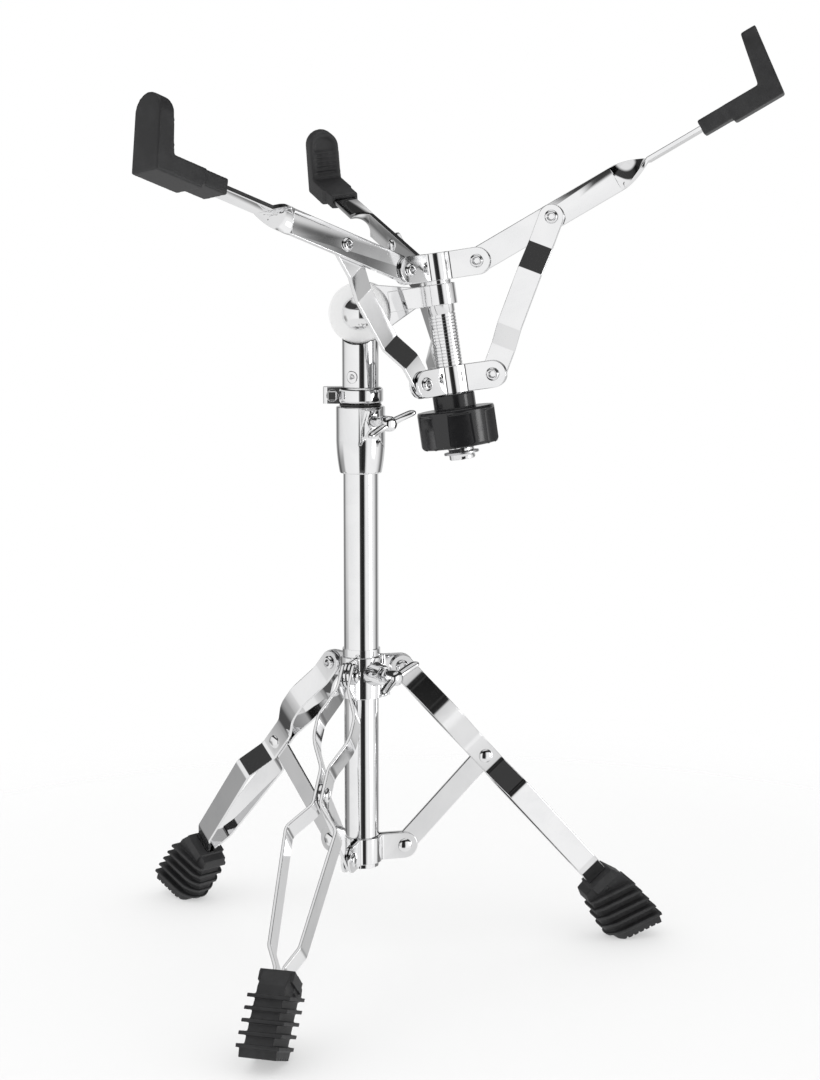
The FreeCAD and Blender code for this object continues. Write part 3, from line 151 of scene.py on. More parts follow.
# Tones of the studio's walls: bearing from the camera's side in degrees, and brightness
WALL_TONES = (
    (-180, 0.60),
    (-150, 0.45),
    (-140, 0.16),
    (-132, 0.22),
    (-122, 0.55),
    (-110, 0.80),
    (-86, 0.90),
    (-35, 0.97),
    (-9, 1.00),
    (-4, 0.06),
    (10, 0.015),
    (23, 0.03),
    (28, 0.70),
    (36, 1.00),
    (90, 0.95),
    (104, 0.70),
    (112, 0.50),
    (120, 0.20),
    (134, 0.20),
    (142, 0.60),
    (152, 0.68),
    (180, 0.60),
)

# Where the studio's lights and shades begin and end: bearings in degrees, heights as parts of the sky.
# The shares say how dark a shade is.
WINDOW_SIDES = (57, 62, 73, 78)
WINDOW_HEIGHTS = (-0.30, -0.16, 0.12, 0.17)
LOW_CEILING_SIDES = (62, 92, 120, 140)
LOW_CEILING_DROP = 0.15
SHADED_SIDE = (-100, -84)
SHADED_HEIGHTS = (-0.26, -0.10)
SHADED_SHARE = 0.55
GROUND_HEIGHTS = (-0.60, -0.42)
SKYLIGHT_HEIGHTS = (0.72, 0.88)
CEILING_SHARE = 0.95

# Section of the socket's pressed dimple, from its rim inwards:
# distance from the middle and rise, in metres
DIMPLE = (
    (0.0041, -0.0004),
    (0.0041, -0.00005),
    (0.0037, 0.00012),
    (0.0032, 0.00028),
    (0.0027, 0.0002),
    (0.0021, 0.00005),
    (0.0017, 0.0001),
    (0.0015, 0.0003),
    (0.0012, 0.0003),
    (0.00105, 0.00005),
    (0.001, -0.00035),
)


def length(name, description, default):
    """Property for a size in metres."""
    return FloatProperty(name=name, description=description, default=default, min=0, precision=5,
                         subtype="DISTANCE", unit="LENGTH")


def share(name, description, default):
    """Property for a number from 0 to 1."""
    return FloatProperty(name=name, description=description, default=default, min=0, max=1,
                         subtype="FACTOR")


def colour(name, description, default):
    """Property for a colour."""
    return FloatVectorProperty(name=name, description=description, default=default, size=3,
                               min=0, max=1, subtype="COLOR")


def count(name, description, default):
    """Property for a whole number."""
    return IntProperty(name=name, description=description, default=default, min=0)


def turn(name, description, degrees):
    """Property for an angle, given in degrees."""
    return FloatProperty(name=name, description=description, default=math.radians(degrees),
                         subtype="ANGLE", unit="ROTATION")


class ChromeFinish(bpy.types.PropertyGroup):
    """Polished chrome plate on steel."""

    plate: colour("Plate", "Colour of the clean plate", (0.88, 0.88, 0.885))
    haze: colour("Haze", "Colour where handling has dulled the plate", (0.82, 0.822, 0.83))
    polish: share("Polish", "Roughness of the clean plate", 0.035)
    dull: share("Dull", "Roughness where the plate is dulled", 0.12)
    smears: share("Smears", "How far smears dull the plate", 0.75)
    specks: share("Specks", "How far specks dull the plate", 0.25)
    ripple: share("Ripple", "How strongly the stamped steel waves under the plate", 0.025)
    ripple_depth: length("Ripple depth", "Depth of the steel's waves", 0.004)
    grain: share("Grain", "Part of fine grain in the steel's waves", 0.012)


class SteelFinish(bpy.types.PropertyGroup):
    """Brushed spring steel of the rod's retaining ring."""

    dark: colour("Dark", "Colour in the brush marks", (0.52, 0.52, 0.53))
    bright: colour("Bright", "Colour between the brush marks", (0.66, 0.66, 0.67))
    polish: share("Polish", "Roughness of the smoothest steel", 0.2)
    brushing: share("Brushing", "Roughness that the brush marks add", 0.18)
    relief: share("Relief", "How strongly the brush marks stand out", 0.1)
    relief_depth: length("Relief depth", "Depth of the brush marks", 0.0002)


class RubberFinish(bpy.types.PropertyGroup):
    """Moulded rubber of the feet and grips."""

    rubber: colour("Rubber", "Colour of the rubber", (0.020, 0.020, 0.021))
    dust: colour("Dust", "Colour of the bloom and dust on it", (0.072, 0.072, 0.074))
    bloom_cover: share("Bloom cover", "How far the bloom hides the rubber", 0.35)
    dust_cover: share("Dust cover", "How far the dust hides the rubber", 0.3)
    roughness: share("Roughness", "Roughness of the clean rubber", 0.44)
    uneven: share("Uneven", "Roughness that the bloom and the grain add", 0.12)
    sheen: share("Sheen", "How much light the rubber's surface reflects", 0.45)
    grain: length("Grain", "Size of the moulded grain", 0.0007)
    relief: share("Relief", "How strongly the grain stands out", 0.3)
    relief_depth: length("Relief depth", "Depth of the grain", 0.0003)
    foot_skin: length("Foot skin", "Size of the faces on a moulded foot", 0.00042)
    foot_relaxing: count("Foot relaxing", "Steps that round a moulded foot", 2)
    grip_skin: length("Grip skin", "Size of the faces on a moulded grip", 0.0006)
    grip_relaxing: count("Grip relaxing", "Steps that round a moulded grip", 16)


class PlasticFinish(bpy.types.PropertyGroup):
    """Black and white mouldings."""

    knob: colour("Knob", "Colour of the tension knob", (0.012, 0.012, 0.013))
    bushing: colour("Bushing", "Colour of the mast's bushing", (0.02, 0.02, 0.02))
    tilter: colour("Tilter", "Colour of the tilter's nylon discs", (0.84, 0.84, 0.84))
    knob_edge: length("Knob edge", "Rounding of the knob's edges", 0.0009)
    disc_edge: length("Disc edge", "Rounding of the nylon discs", 0.0004)


class SheetSizes(bpy.types.PropertyGroup):
    """Edges of the metal pieces."""

    strip_edge: length("Strip edge", "Rounding of legs, struts, arms and links", 0.0005)
    plate_edge: length("Plate edge", "Rounding of the stamped plates", 0.0004)
    casting_edge: length("Casting edge", "Rounding of the cast collars", 0.0008)
    tube_edge: length("Tube edge", "Rounding of the tubes' ends", 0.0003)
    rivet_edge: length("Rivet edge", "Rounding of the rivets' rolled heads", 0.0005)
    dome_radius: length("Dome radius", "Radius of a leg rivet's domed head", 0.0046)
    dome_height: length("Dome height", "Height of a leg rivet's domed head", 0.0019)
    dome_shank: length("Dome shank", "Radius of a leg rivet's shank", 0.0029)


class ThreadSizes(bpy.types.PropertyGroup):
    """Threads of the rod and the screws."""

    rod_pitch: length("Rod pitch", "Pitch of the basket rod's thread", 0.002)
    rod_depth: length("Rod depth", "Depth of the basket rod's thread", 0.0005)
    rod_plain: length("Rod plain", "Plain length at the rod's upper end", 0.0365)
    screw_pitch: length("Screw pitch", "Pitch of the wing screws' thread", 0.001)
    screw_depth: length("Screw depth", "Depth of the wing screws' thread", 0.00045)
    points: count("Points", "Points in one turn of a thread", 32)


class WingSizes(bpy.types.PropertyGroup):
    """Wing screws."""

    reach: length("Reach", "From the axis to a wing's tip", 0.018)
    sweep: length("Sweep", "How far a wing leans along the axis", 0.0035)
    root_width: length("Root width", "Width of a wing at the hub", 0.0052)
    tip_width: length("Tip width", "Width of a wing near its tip", 0.0068)
    root_thick: length("Root thickness", "Thickness of a wing at the hub", 0.0052)
    tip_thick: length("Tip thickness", "Thickness of a wing near its tip", 0.0038)
    hub: length("Hub", "Radius of a wing screw's hub", 0.0048)
    hub_length: length("Hub length", "Length of a wing screw's hub", 0.0125)
    shank: length("Shank", "Radius of a wing screw's thread", 0.003)
    leg_standoff: length("Leg stand-off", "Thread that shows at the leg collar", 0.002)
    height_standoff: length("Height stand-off", "Thread that shows at the height collar", 0.010)
    leg_turn: turn("Leg turn", "Turn of the leg screw's wings", -62)
    height_turn: turn("Height turn", "Turn of the height screw's wings", -66)


class StageSettings(bpy.types.PropertyGroup):
    """Floor, light and camera."""

    floor: colour("Floor", "Colour of the floor", (0.96, 0.96, 0.96))
    floor_near: length("Floor near", "Radius of the floor's solid middle", 0.34)
    floor_clear: share("Floor clear", "How far the backdrop shows through the floor", 0.45)
    floor_far: length("Floor far", "Radius at which the floor has faded into the backdrop", 0.75)
    backdrop: colour("Backdrop", "Colour of the backdrop", (1.0, 1.0, 1.0))
    ceiling_low: share("Ceiling low", "Height on the sky at which the dark ceiling begins", 0.27)
    ceiling_high: share("Ceiling high", "Height on the sky at which the ceiling is darkest", 0.37)
    skylight: share("Skylight", "Brightness of the light overhead", 0.8)
    ground: share("Ground", "Brightness of the ground that the metal sees", 0.85)
    window: FloatProperty(name="Window", description="Brightness of the window beside the camera",
                          default=4.5, min=0)
    camera_place: FloatVectorProperty(name="Camera", description="Place of the camera", size=3,
                                      default=(0.2613, -1.2678, 0.4615), subtype="TRANSLATION",
                                      unit="LENGTH")
    camera_pitch: turn("Pitch", "How far the camera looks down", 8.073)
    camera_heading: turn("Heading", "Turn of the camera about the vertical", 12)
    lens: FloatProperty(name="Lens", description="Focal length in millimetres", default=69.0, min=1)


class StandSettings(bpy.types.PropertyGroup):
    """All the settings of the drum stand."""

    chrome: PointerProperty(type=ChromeFinish)
    steel: PointerProperty(type=SteelFinish)
    rubber: PointerProperty(type=RubberFinish)
    plastic: PointerProperty(type=PlasticFinish)
    sheet: PointerProperty(type=SheetSizes)
    thread: PointerProperty(type=ThreadSizes)
    wing: PointerProperty(type=WingSizes)
    stage: PointerProperty(type=StageSettings)


class Value:
    """A node's output, on which Python's operators add Math nodes."""

    def __init__(self, shader, socket):
        self.shader = shader
        self.socket = socket

    def maths(self, operation, first, second):
        return self.shader.add("ShaderNodeMath", {"operation": operation}, {0: first, 1: second})

    def __add__(self, other):
        return self.maths("ADD", self, other)

    def __sub__(self, other):
        return self.maths("SUBTRACT", self, other)

    def __rsub__(self, other):
        return self.maths("SUBTRACT", other, self)

    def __mul__(self, other):
        return self.maths("MULTIPLY", self, other)

    def __truediv__(self, other):
        return self.maths("DIVIDE", self, other)


class Shader:
    """A node tree that is written as expressions."""

    def __init__(self, owner):
        owner.use_nodes = True
        self.tree = owner.node_tree
        self.tree.nodes.clear()

    def add(self, kind, settings=None, inputs=None, output=0):
        """One node: its type, its settings, which are set first, and its sockets' values or links."""
        node = self.tree.nodes.new(kind)
        for name, value in (settings or {}).items():
            if name == "stops":
                self.set_stops(node.color_ramp, value)
            else:
                setattr(node, name, value)
        for name, value in (inputs or {}).items():
            if isinstance(value, Value):
                self.tree.links.new(value.socket, node.inputs[name])
            else:
                node.inputs[name].default_value = value
        return Value(self, node.outputs[output]) if len(node.outputs) else None

    @staticmethod
    def set_stops(ramp, stops):
        while len(ramp.elements) < len(stops):
            ramp.elements.new(0.5)
        for element, (place, level) in zip(ramp.elements, stops):
            element.position = place
            element.color = (level, level, level, 1)

    def place(self):
        """Place on the piece, in metres."""
        return self.add("ShaderNodeTexCoord", {}, {}, "Object")

    def noise(self, place, scale, detail=2.0, roughness=0.5, distortion=0.0):
        return self.add("ShaderNodeTexNoise", {}, {
            "Vector": place,
            "Scale": scale,
            "Detail": detail,
            "Roughness": roughness,
            "Distortion": distortion,
        })

    def ramp(self, value, *stops):
        return self.add("ShaderNodeValToRGB", {"stops": stops}, {"Fac": value})

    def rise(self, value, low, high):
        """Straight rise from 0 at low to 1 at high."""
        return self.ramp(value, (low, 0.0), (high, 1.0))

    def step(self, value, low, high):
        """Smooth step from 0 at low to 1 at high."""
        settings = {"interpolation_type": "SMOOTHSTEP", "clamp": True}
        inputs = {"Value": value, "From Min": low, "From Max": high}
        return self.add("ShaderNodeMapRange", settings, inputs)

    def band(self, value, low, full, falling, high):
        """Smooth hump: 0 at low, 1 from full to falling, 0 again at high."""
        return self.step(value, low, full) * (1 - self.step(value, falling, high))

    def blend(self, factor, first, second):
        """Mix of two colours."""
        node = {"data_type": "RGBA"}
        return self.add("ShaderNodeMix", node, {"Factor": factor, 6: first, 7: second}, 2)

    def bump(self, height, strength, distance):
        return self.add("ShaderNodeBump", {}, {
            "Height": height,
            "Strength": strength,
            "Distance": distance,
        })

    def split(self, vector):
        """The three numbers of a vector."""
        first = self.add("ShaderNodeSeparateXYZ", {}, {0: vector})
        return [Value(self, socket) for socket in first.socket.node.outputs]

    def surface(self, shader):
        self.add("ShaderNodeOutputMaterial", {}, {"Surface": shader})


def rgba(value):
    return (*value, 1.0)


def new_material(name):
    material = bpy.data.materials.get(name)
    if material is None:
        material = bpy.data.materials.new(name)
    return material, Shader(material)


def chrome_material(finish):
    """Mirror chrome: a faint ripple of the steel under it, and patches that handling has dulled."""
    material, shader = new_material("mirror_chrome")
    place = shader.place()
    smear = shader.noise(place, scale=34.0, detail=5.0, roughness=0.6, distortion=0.8)
    smear = shader.rise(smear, low=0.42, high=0.74)
    speck = shader.rise(shader.noise(place, scale=900.0), low=0.70, high=0.80)
    wave = shader.noise(place, scale=26.0, roughness=0.45)
    grain = shader.noise(place, scale=420.0)
    dullness = smear * finish.smears + speck * finish.specks
    shader.surface(shader.add("ShaderNodeBsdfPrincipled", {}, {
        "Base Color": shader.blend(smear, rgba(finish.plate), rgba(finish.haze)),
        "Metallic": 1.0,
        "Roughness": dullness * (finish.dull - finish.polish) + finish.polish,
        "Normal": shader.bump(wave + grain * finish.grain, finish.ripple, finish.ripple_depth),
    }))
    return material


def steel_material(finish):
    """Bright spring steel, finely brushed."""
    material, shader = new_material("spring_steel")
    place = shader.place()
    grain = shader.noise(place, scale=1500.0, detail=3.0)
    shader.surface(shader.add("ShaderNodeBsdfPrincipled", {}, {
        "Base Color": shader.blend(grain, rgba(finish.dark), rgba(finish.bright)),
        "Metallic": 1.0,
        "Roughness": grain * finish.brushing + finish.polish,
        "Normal": shader.bump(grain, finish.relief, finish.relief_depth),
    }))
    return material


def rubber_material(finish):
    """Matt rubber with a moulded grain, bloom in patches and dust caught on it."""
    material, shader = new_material("moulded_rubber")
    place = shader.place()
    bloom = shader.noise(place, scale=60.0, detail=5.0, roughness=0.65)
    bloom = shader.rise(bloom, low=0.45, high=0.8)
    dust = shader.rise(shader.noise(place, scale=1300.0), low=0.66, high=0.78)
    grain = shader.noise(place, scale=1 / finish.grain, detail=3.0, roughness=0.6)
    cover = bloom * finish.bloom_cover + dust * finish.dust_cover
    shader.surface(shader.add("ShaderNodeBsdfPrincipled", {}, {
        "Base Color": shader.blend(cover, rgba(finish.rubber), rgba(finish.dust)),
        "Roughness": bloom * finish.uneven + grain * finish.uneven + finish.roughness,
        "Specular IOR Level": finish.sheen,
        "Normal": shader.bump(grain, finish.relief, finish.relief_depth),
    }))
    return material


def plastic_material(name, base, roughness, relief):
    """Moulded plastic with a faint flow pattern and fine handling marks."""
    material, shader = new_material(name)
    place = shader.place()
    flow = shader.noise(place, scale=45.0, detail=3.0, distortion=1.2)
    marks = shader.noise(place, scale=260.0, detail=5.0, roughness=0.7)
    marks = shader.rise(marks, low=0.5, high=0.75)
    skin = shader.noise(place, scale=1100.0)
    pale = tuple(min(1.0, channel * PALE_GAIN + PALE_LIFT) for channel in base)
    shader.surface(shader.add("ShaderNodeBsdfPrincipled", {}, {
        "Base Color": shader.blend(flow * FLOW_TINT + marks * MARK_TINT, rgba(base), rgba(pale)),
        "Roughness": marks * MARK_ROUGHNESS + roughness,
        "Normal": shader.bump(skin * SKIN_RELIEF + flow * FLOW_RELIEF, relief, PLASTIC_DEPTH),
    }))
    return material


def nodes_like(*patterns):
    """Node names, with a number for each of the three legs or arms where a pattern ends in _."""
    names = []
    for pattern in patterns:
        if pattern.endswith("_"):
            names += [pattern + str(number) for number in NUMBERS]
        else:
            names.append(pattern)
    return names


def place_piece(piece, node, material):
    """Finish a new piece that stands for a node, and let it move as the node does."""
    piece.data.materials.clear()
    piece.data.materials.append(material)
    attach(piece, frame["nodes"][node]["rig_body"])
    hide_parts(node)


def new_piece(name, mesh_maker):
    """Object in the scene from a filled bmesh."""
    mesh = bpy.data.meshes.new(name)
    mesh_maker.to_mesh(mesh)
    mesh_maker.free()
    piece = bpy.data.objects.new(name, mesh)
    bpy.context.scene.collection.objects.link(piece)
    return piece


def soften(piece, edge, steps, free):
    """Round the sharp edges of a piece, also past short neighbouring edges if free."""
    bevel = piece.modifiers.new("rounded_edges", "BEVEL")
    bevel.width = edge
    bevel.segments = steps
    bevel.limit_method = "ANGLE"
    bevel.angle_limit = CREASE
    bevel.miter_outer = "MITER_ARC"
    bevel.harden_normals = True
    bevel.use_clamp_overlap = not free


def node_mesh(node):
    """Copy of a node's mesh with its points joined."""
    source = bmesh.new()
    source.from_mesh(frame["nodes"][node].data)
    for layer in list(source.loops.layers.float_vector.values()):
        source.loops.layers.float_vector.remove(layer)
    bmesh.ops.remove_doubles(source, verts=source.verts, dist=WELD)
    return source


def moulded(node, skin_size, relaxing, material):
    """Piece with a node's shape, all its edges and hollows rounded as a rubber mould leaves them."""
    piece = new_piece("finished_" + node, node_mesh(node))
    skin = piece.modifiers.new("skin", "REMESH")
    skin.mode = "VOXEL"
    skin.voxel_size = skin_size
    skin.use_smooth_shade = True
    relax = piece.modifiers.new("rounded_edges", "SMOOTH")
    relax.factor = RELAX_SHARE
    relax.iterations = relaxing
    thin = piece.modifiers.new("fewer_faces", "DECIMATE")
    thin.ratio = MOULD_SHARE
    place_piece(piece, node, material)


def rounded(node, edge, steps, material, free=True):
    """Piece with a node's shape, its flat faces whole and its sharp edges rounded."""
    source = node_mesh(node)
    bmesh.ops.dissolve_limit(source, angle_limit=FLAT, verts=source.verts, edges=source.edges)
    for face in source.faces:
        face.smooth = True
    for line in source.edges:
        line.smooth = line.calc_face_angle(0) < CREASE
    piece = new_piece("finished_" + node, source)
    for name in ("custom_normal", "sharp_face"):
        layer = piece.data.attributes.get(name)
        if layer is not None:
            piece.data.attributes.remove(layer)
    soften(piece, edge, steps, free)
    place_piece(piece, node, material)


def frame_on(axis, origin, roll=0.0):
    """Matrix whose X runs along an axis, rolled about it, with Z as near to upright as it can be."""
    along = axis.normalized()
    side = Vector((0, 0, 1)).cross(along)
    if side.length < WELD:
        side = Vector((0, 1, 0))
    side.normalize()
    up = along.cross(side)
    base = Matrix((along, side, up)).transposed().to_4x4()
    return Matrix.Translation(origin) @ base @ Matrix.Rotation(roll, 4, "X")


def joint_line(name):
    """Point and direction of a joint."""
    joint = next(found for found in frame["joints"] if found["name"] == name)
    return Vector(joint["pos_m"]), Vector(joint["axis"]).normalized()


def reach_along(node, origin, axis):
    """Lowest and highest place of a node along an axis."""
    places = [(vertex.co - origin).dot(axis) for vertex in frame["nodes"][node].data.vertices]
    return min(places), max(places)


def ring(mesh, points):
    return [mesh.verts.new(point) for point in points]


def loft(mesh, rings):
    """Walls from each ring to the next, closed at both ends."""
    for first, second in zip(rings, rings[1:]):
        for index in range(len(first)):
            after = (index + 1) % len(first)
            mesh.faces.new((first[index], first[after], second[after], second[index]))
    mesh.faces.new(rings[0])
    mesh.faces.new(rings[-1])


def turned_profile(mesh, place, profile, points):
    """Lathe work about X from (along, radius) pairs, closed at both ends."""
    rings = []
    for along, radius in profile:
        circle = []
        for index in range(points):
            angle = 2 * math.pi * index / points
            circle.append(place @ Vector((along, radius * math.cos(angle), radius * math.sin(angle))))
        rings.append(ring(mesh, circle))
    loft(mesh, rings)


def thread(mesh, place, radius, depth, pitch, low, high, points):
    """Helical thread about X with a flat crest and a flat root, fading out at both ends."""
    steps = int((high - low) / pitch * points) - points
    fade = points // 2
    turns = []
    for index in range(steps + 1):
        angle = 2 * math.pi * index / points
        height = min(1.0, index / fade, (steps - index) / fade)
        spots = []
        for along, level in THREAD_SECTION:
            out = radius - depth * (1 - level * height)
            start = low + pitch * (index / points + along)
            spots.append(place @ Vector((start, out * math.cos(angle), out * math.sin(angle))))
        turns.append(ring(mesh, spots))
    for index in range(steps):
        here, after = turns[index], turns[index + 1]
        for spot in range(len(THREAD_SECTION) - 1):
            mesh.faces.new((here[spot], after[spot], after[spot + 1], here[spot + 1]))
        for first, second in zip(here, after):
            mesh.edges.get((first, second)).smooth = False
        if index + points < steps:
            above, beyond = turns[index + points], turns[index + points + 1]
            mesh.faces.new((here[-1], after[-1], beyond[0], above[0]))


def squared(part):
    """Sine or cosine of an oval, drawn out towards the corners of a box."""
    return math.copysign(abs(part) ** WING_SQUARING, part)


def wing_blade(mesh, place, sizes, side):
    """One cast wing about X: oval sections that widen and thin out to a rounded tip."""
    tip = sizes.tip_width / 2
    rings = []
    for station in range(WING_SECTIONS + 1):
        run = math.sin(math.pi / 2 * station / WING_SECTIONS)
        out = sizes.reach * run
        width = sizes.root_width + (sizes.tip_width - sizes.root_width) * run
        thick = sizes.root_thick + (sizes.tip_thick - sizes.root_thick) * math.sqrt(run)
        past = max(0.0, (out - (sizes.reach - tip)) / tip)
        closing = math.sqrt(max(WING_TIP_LEAST, 1 - past * past))
        lean = sizes.sweep * run * run
        oval = []
        for index in range(WING_POINTS):
            angle = 2 * math.pi * index / WING_POINTS
            across = squared(math.cos(angle)) * width / 2 * closing
            deep = squared(math.sin(angle)) * thick / 2 * closing
            oval.append(place @ Vector((lean + across, deep, side * out)))
        rings.append(ring(mesh, oval))
    loft(mesh, rings)


def smooth_all(mesh):
    bmesh.ops.recalc_face_normals(mesh, faces=mesh.faces)
    for face in mesh.faces:
        face.smooth = True


def hub_profile(start, end, radius):
    """Turned hub with a small chamfer at its root and a domed end."""
    chamfer = radius * HUB_CHAMFER
    dome = radius * HUB_DOME
    profile = [(start, radius - chamfer), (start + chamfer, radius)]
    for index in range(DOME_STEPS + 1):
        angle = math.pi / 2 * index / DOME_STEPS
        along = end - dome + dome * math.sin(angle)
        profile.append((along, radius * (HUB_FLAT + (1 - HUB_FLAT) * math.cos(angle))))
    return profile


def wing_screw(node, joint, standoff, roll, settings, material):
    """Wing screw with a cast hub, two wings and a threaded shank."""
    sizes, threads = settings.wing, settings.thread
    origin, axis = joint_line(joint)
    place = frame_on(axis, origin, roll)
    low, _ = reach_along(node, origin, axis)
    mesh = bmesh.new()
    end = standoff + sizes.hub_length
    turned_profile(mesh, place, hub_profile(standoff, end, sizes.hub), HUB_POINTS)
    wings = place @ Matrix.Translation((end - sizes.sweep, 0, 0))
    for side in (1, -1):
        wing_blade(mesh, wings, sizes, side)
    core = sizes.shank - threads.screw_depth
    turned_profile(mesh, place, [
        (low, core * (1 - SHANK_CHAMFER)),
        (low + core * SHANK_CHAMFER, core),
        (standoff + WELD, core),
    ], SHANK_POINTS)
    thread(mesh, place, sizes.shank, threads.screw_depth, threads.screw_pitch, low, standoff,
           threads.points)
    smooth_all(mesh)
    place_piece(new_piece("finished_" + node, mesh), node, material)


def dome_profile(seat, sizes):
    """Domed rivet head from its seat up."""
    profile = []
    for index in range(DOME_STEPS + 1):
        angle = math.pi / 2 * index / DOME_STEPS
        along = seat + sizes.dome_height * math.sin(angle)
        profile.append((along, max(sizes.dome_radius * math.cos(angle), WELD)))
    return profile


def loose_parts(node):
    """Points of each separate solid in a node, always in the order of its mesh."""
    source = node_mesh(node)
    seen = set()
    parts = []
    for start in source.verts:
        if start in seen:
            continue
        seen.add(start)
        part, reached = [], [start]
        while reached:
            point = reached.pop()
            part.append(point.co.copy())
            for line in point.link_edges:
                other = line.other_vert(point)
                if other not in seen:
                    seen.add(other)
                    reached.append(other)
        parts.append(part)
    source.free()
    return parts


def strut_rivet(node, joint, sizes, material):
    """Rivet through a leg, domed at both ends."""
    origin, axis = joint_line(joint)
    low, high = reach_along(node, origin, axis)
    place = frame_on(axis, origin)
    upper = dome_profile(high - sizes.dome_height, sizes)
    lower = [(-along, radius) for along, radius in dome_profile(-low - sizes.dome_height, sizes)]
    mesh = bmesh.new()
    shank = [(low + sizes.dome_height, sizes.dome_shank), (high - sizes.dome_height, sizes.dome_shank)]
    turned_profile(mesh, place, lower[::-1] + shank + upper, RIVET_POINTS)
    smooth_all(mesh)
    place_piece(new_piece("finished_" + node, mesh), node, material)


def spider_rivets(node, sizes, material):
    """Short rivets in the ears of the leg spider, domed outside."""
    mesh = bmesh.new()
    axes = [joint_line("strut_%d_swing" % number) for number in NUMBERS]
    for part in loose_parts(node):
        middle = sum(part, Vector()) / len(part)
        origin, axis = min(axes, key=lambda line: abs((middle - line[0]).dot(line[1])))
        way = axis if (middle - origin).dot(axis) > 0 else -axis
        places = [(point - middle).dot(way) for point in part]
        seat = max(places) - sizes.dome_height
        shank = [(min(places), sizes.dome_shank), (seat, sizes.dome_shank)]
        place = frame_on(way, middle)
        turned_profile(mesh, place, shank + dome_profile(seat, sizes), RIVET_POINTS)
    smooth_all(mesh)
    place_piece(new_piece("finished_" + node, mesh), node, material)


def dimple_rivet(node, socket, material):
    """Hollow rivet in a pressed dimple that follows the round of the socket."""
    low, high = (Vector(corner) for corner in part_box(socket))
    axis = (low + high) / 2
    radius = (high.x - low.x) / 2
    low, high = (Vector(corner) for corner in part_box(node))
    middle = (low + high) / 2
    heading = math.atan2(middle.y - axis.y, middle.x - axis.x)
    mesh = bmesh.new()
    rings = []
    for away, rise in DIMPLE:
        circle = []
        for index in range(DIMPLE_POINTS):
            angle = 2 * math.pi * index / DIMPLE_POINTS
            place = heading + away * math.cos(angle) / radius
            out = radius + rise
            circle.append((axis.x + out * math.cos(place), axis.y + out * math.sin(place),
                           middle.z + away * math.sin(angle)))
        rings.append(ring(mesh, circle))
    loft(mesh, rings)
    smooth_all(mesh)
    place_piece(new_piece("finished_" + node, mesh), node, material)


class DRUMSTAND_OT_tubes(bpy.types.Operator):
    """Finish the mast's tubes, collars, bushing and memory lock"""

    bl_idname = "drumstand.tubes"
    bl_label = "Mast and Collars"

    def execute(self, context):
        settings = context.scene.drum_stand
        chrome = chrome_material(settings.chrome)
        for node in ("base_tube", "upper_tube", "collar_sleeve", "tilter_socket", "memory_lock"):
            rounded(node, settings.sheet.tube_edge, THIN_STEPS, chrome, False)
        for node in ("height_collar", "collar_boss"):
            rounded(node, settings.sheet.casting_edge, STRONG_STEPS, chrome)
        rounded("memory_lock_screw", settings.sheet.tube_edge, THIN_STEPS, chrome)
        dimple_rivet("socket_rivet", "tilter_socket", chrome)
        plastic = settings.plastic
        black = plastic_material("black_nylon", plastic.bushing, roughness=0.38, relief=0.1)
        rounded("nylon_bushing", plastic.disc_edge, THIN_STEPS, black)
        return {"FINISHED"}


class DRUMSTAND_OT_legs(bpy.types.Operator):
    """Finish the leg strips, the struts and the plates that carry them"""

    bl_idname = "drumstand.legs"
    bl_label = "Legs and Struts"

    def execute(self, context):
        settings = context.scene.drum_stand
        chrome = chrome_material(settings.chrome)
        for node in nodes_like("leg_strips_", "strut_"):
            rounded(node, settings.sheet.strip_edge, STRONG_STEPS, chrome)
        for node in ("leg_spider_plates", "collar_plates"):
            rounded(node, settings.sheet.plate_edge, THIN_STEPS, chrome)
        return {"FINISHED"}


class DRUMSTAND_OT_feet(bpy.types.Operator):
    """Mould the finned rubber feet"""

    bl_idname = "drumstand.feet"
    bl_label = "Rubber Feet"

    def execute(self, context):
        settings = context.scene.drum_stand
        rubber = rubber_material(settings.rubber)
        for node in nodes_like("foot_"):
            moulded(node, settings.rubber.foot_skin, settings.rubber.foot_relaxing, rubber)
        return {"FINISHED"}


class DRUMSTAND_OT_rivets(bpy.types.Operator):
    """Roll the heads of all the rivets"""

    bl_idname = "drumstand.rivets"
    bl_label = "Rivets"

    def execute(self, context):
        settings = context.scene.drum_stand
        chrome = chrome_material(settings.chrome)
        for node in nodes_like("leg_pivot_rivets", "upper_spider_rivets", "lower_spider_rivets",
                               "link_rivet_"):
            rounded(node, settings.sheet.rivet_edge, STRONG_STEPS, chrome)
        for number in NUMBERS:
            strut_rivet("strut_rivet_%d" % number, "strut_%d_swing" % number, settings.sheet, chrome)
        spider_rivets("leg_spider_rivets", settings.sheet, chrome)
        return {"FINISHED"}


class DRUMSTAND_OT_wing_screws(bpy.types.Operator):
    """Cast the two wing screws"""

    bl_idname = "drumstand.wing_screws"
    bl_label = "Wing Screws"

    def execute(self, context):
        settings = context.scene.drum_stand
        chrome = chrome_material(settings.chrome)
        wing = settings.wing
        wing_screw("leg_wing_screw", "leg_screw_turn", wing.leg_standoff, wing.leg_turn,
                   settings, chrome)
        wing_screw("height_wing_screw", "height_screw_turn", wing.height_standoff, wing.height_turn,
                   settings, chrome)
        return {"FINISHED"}


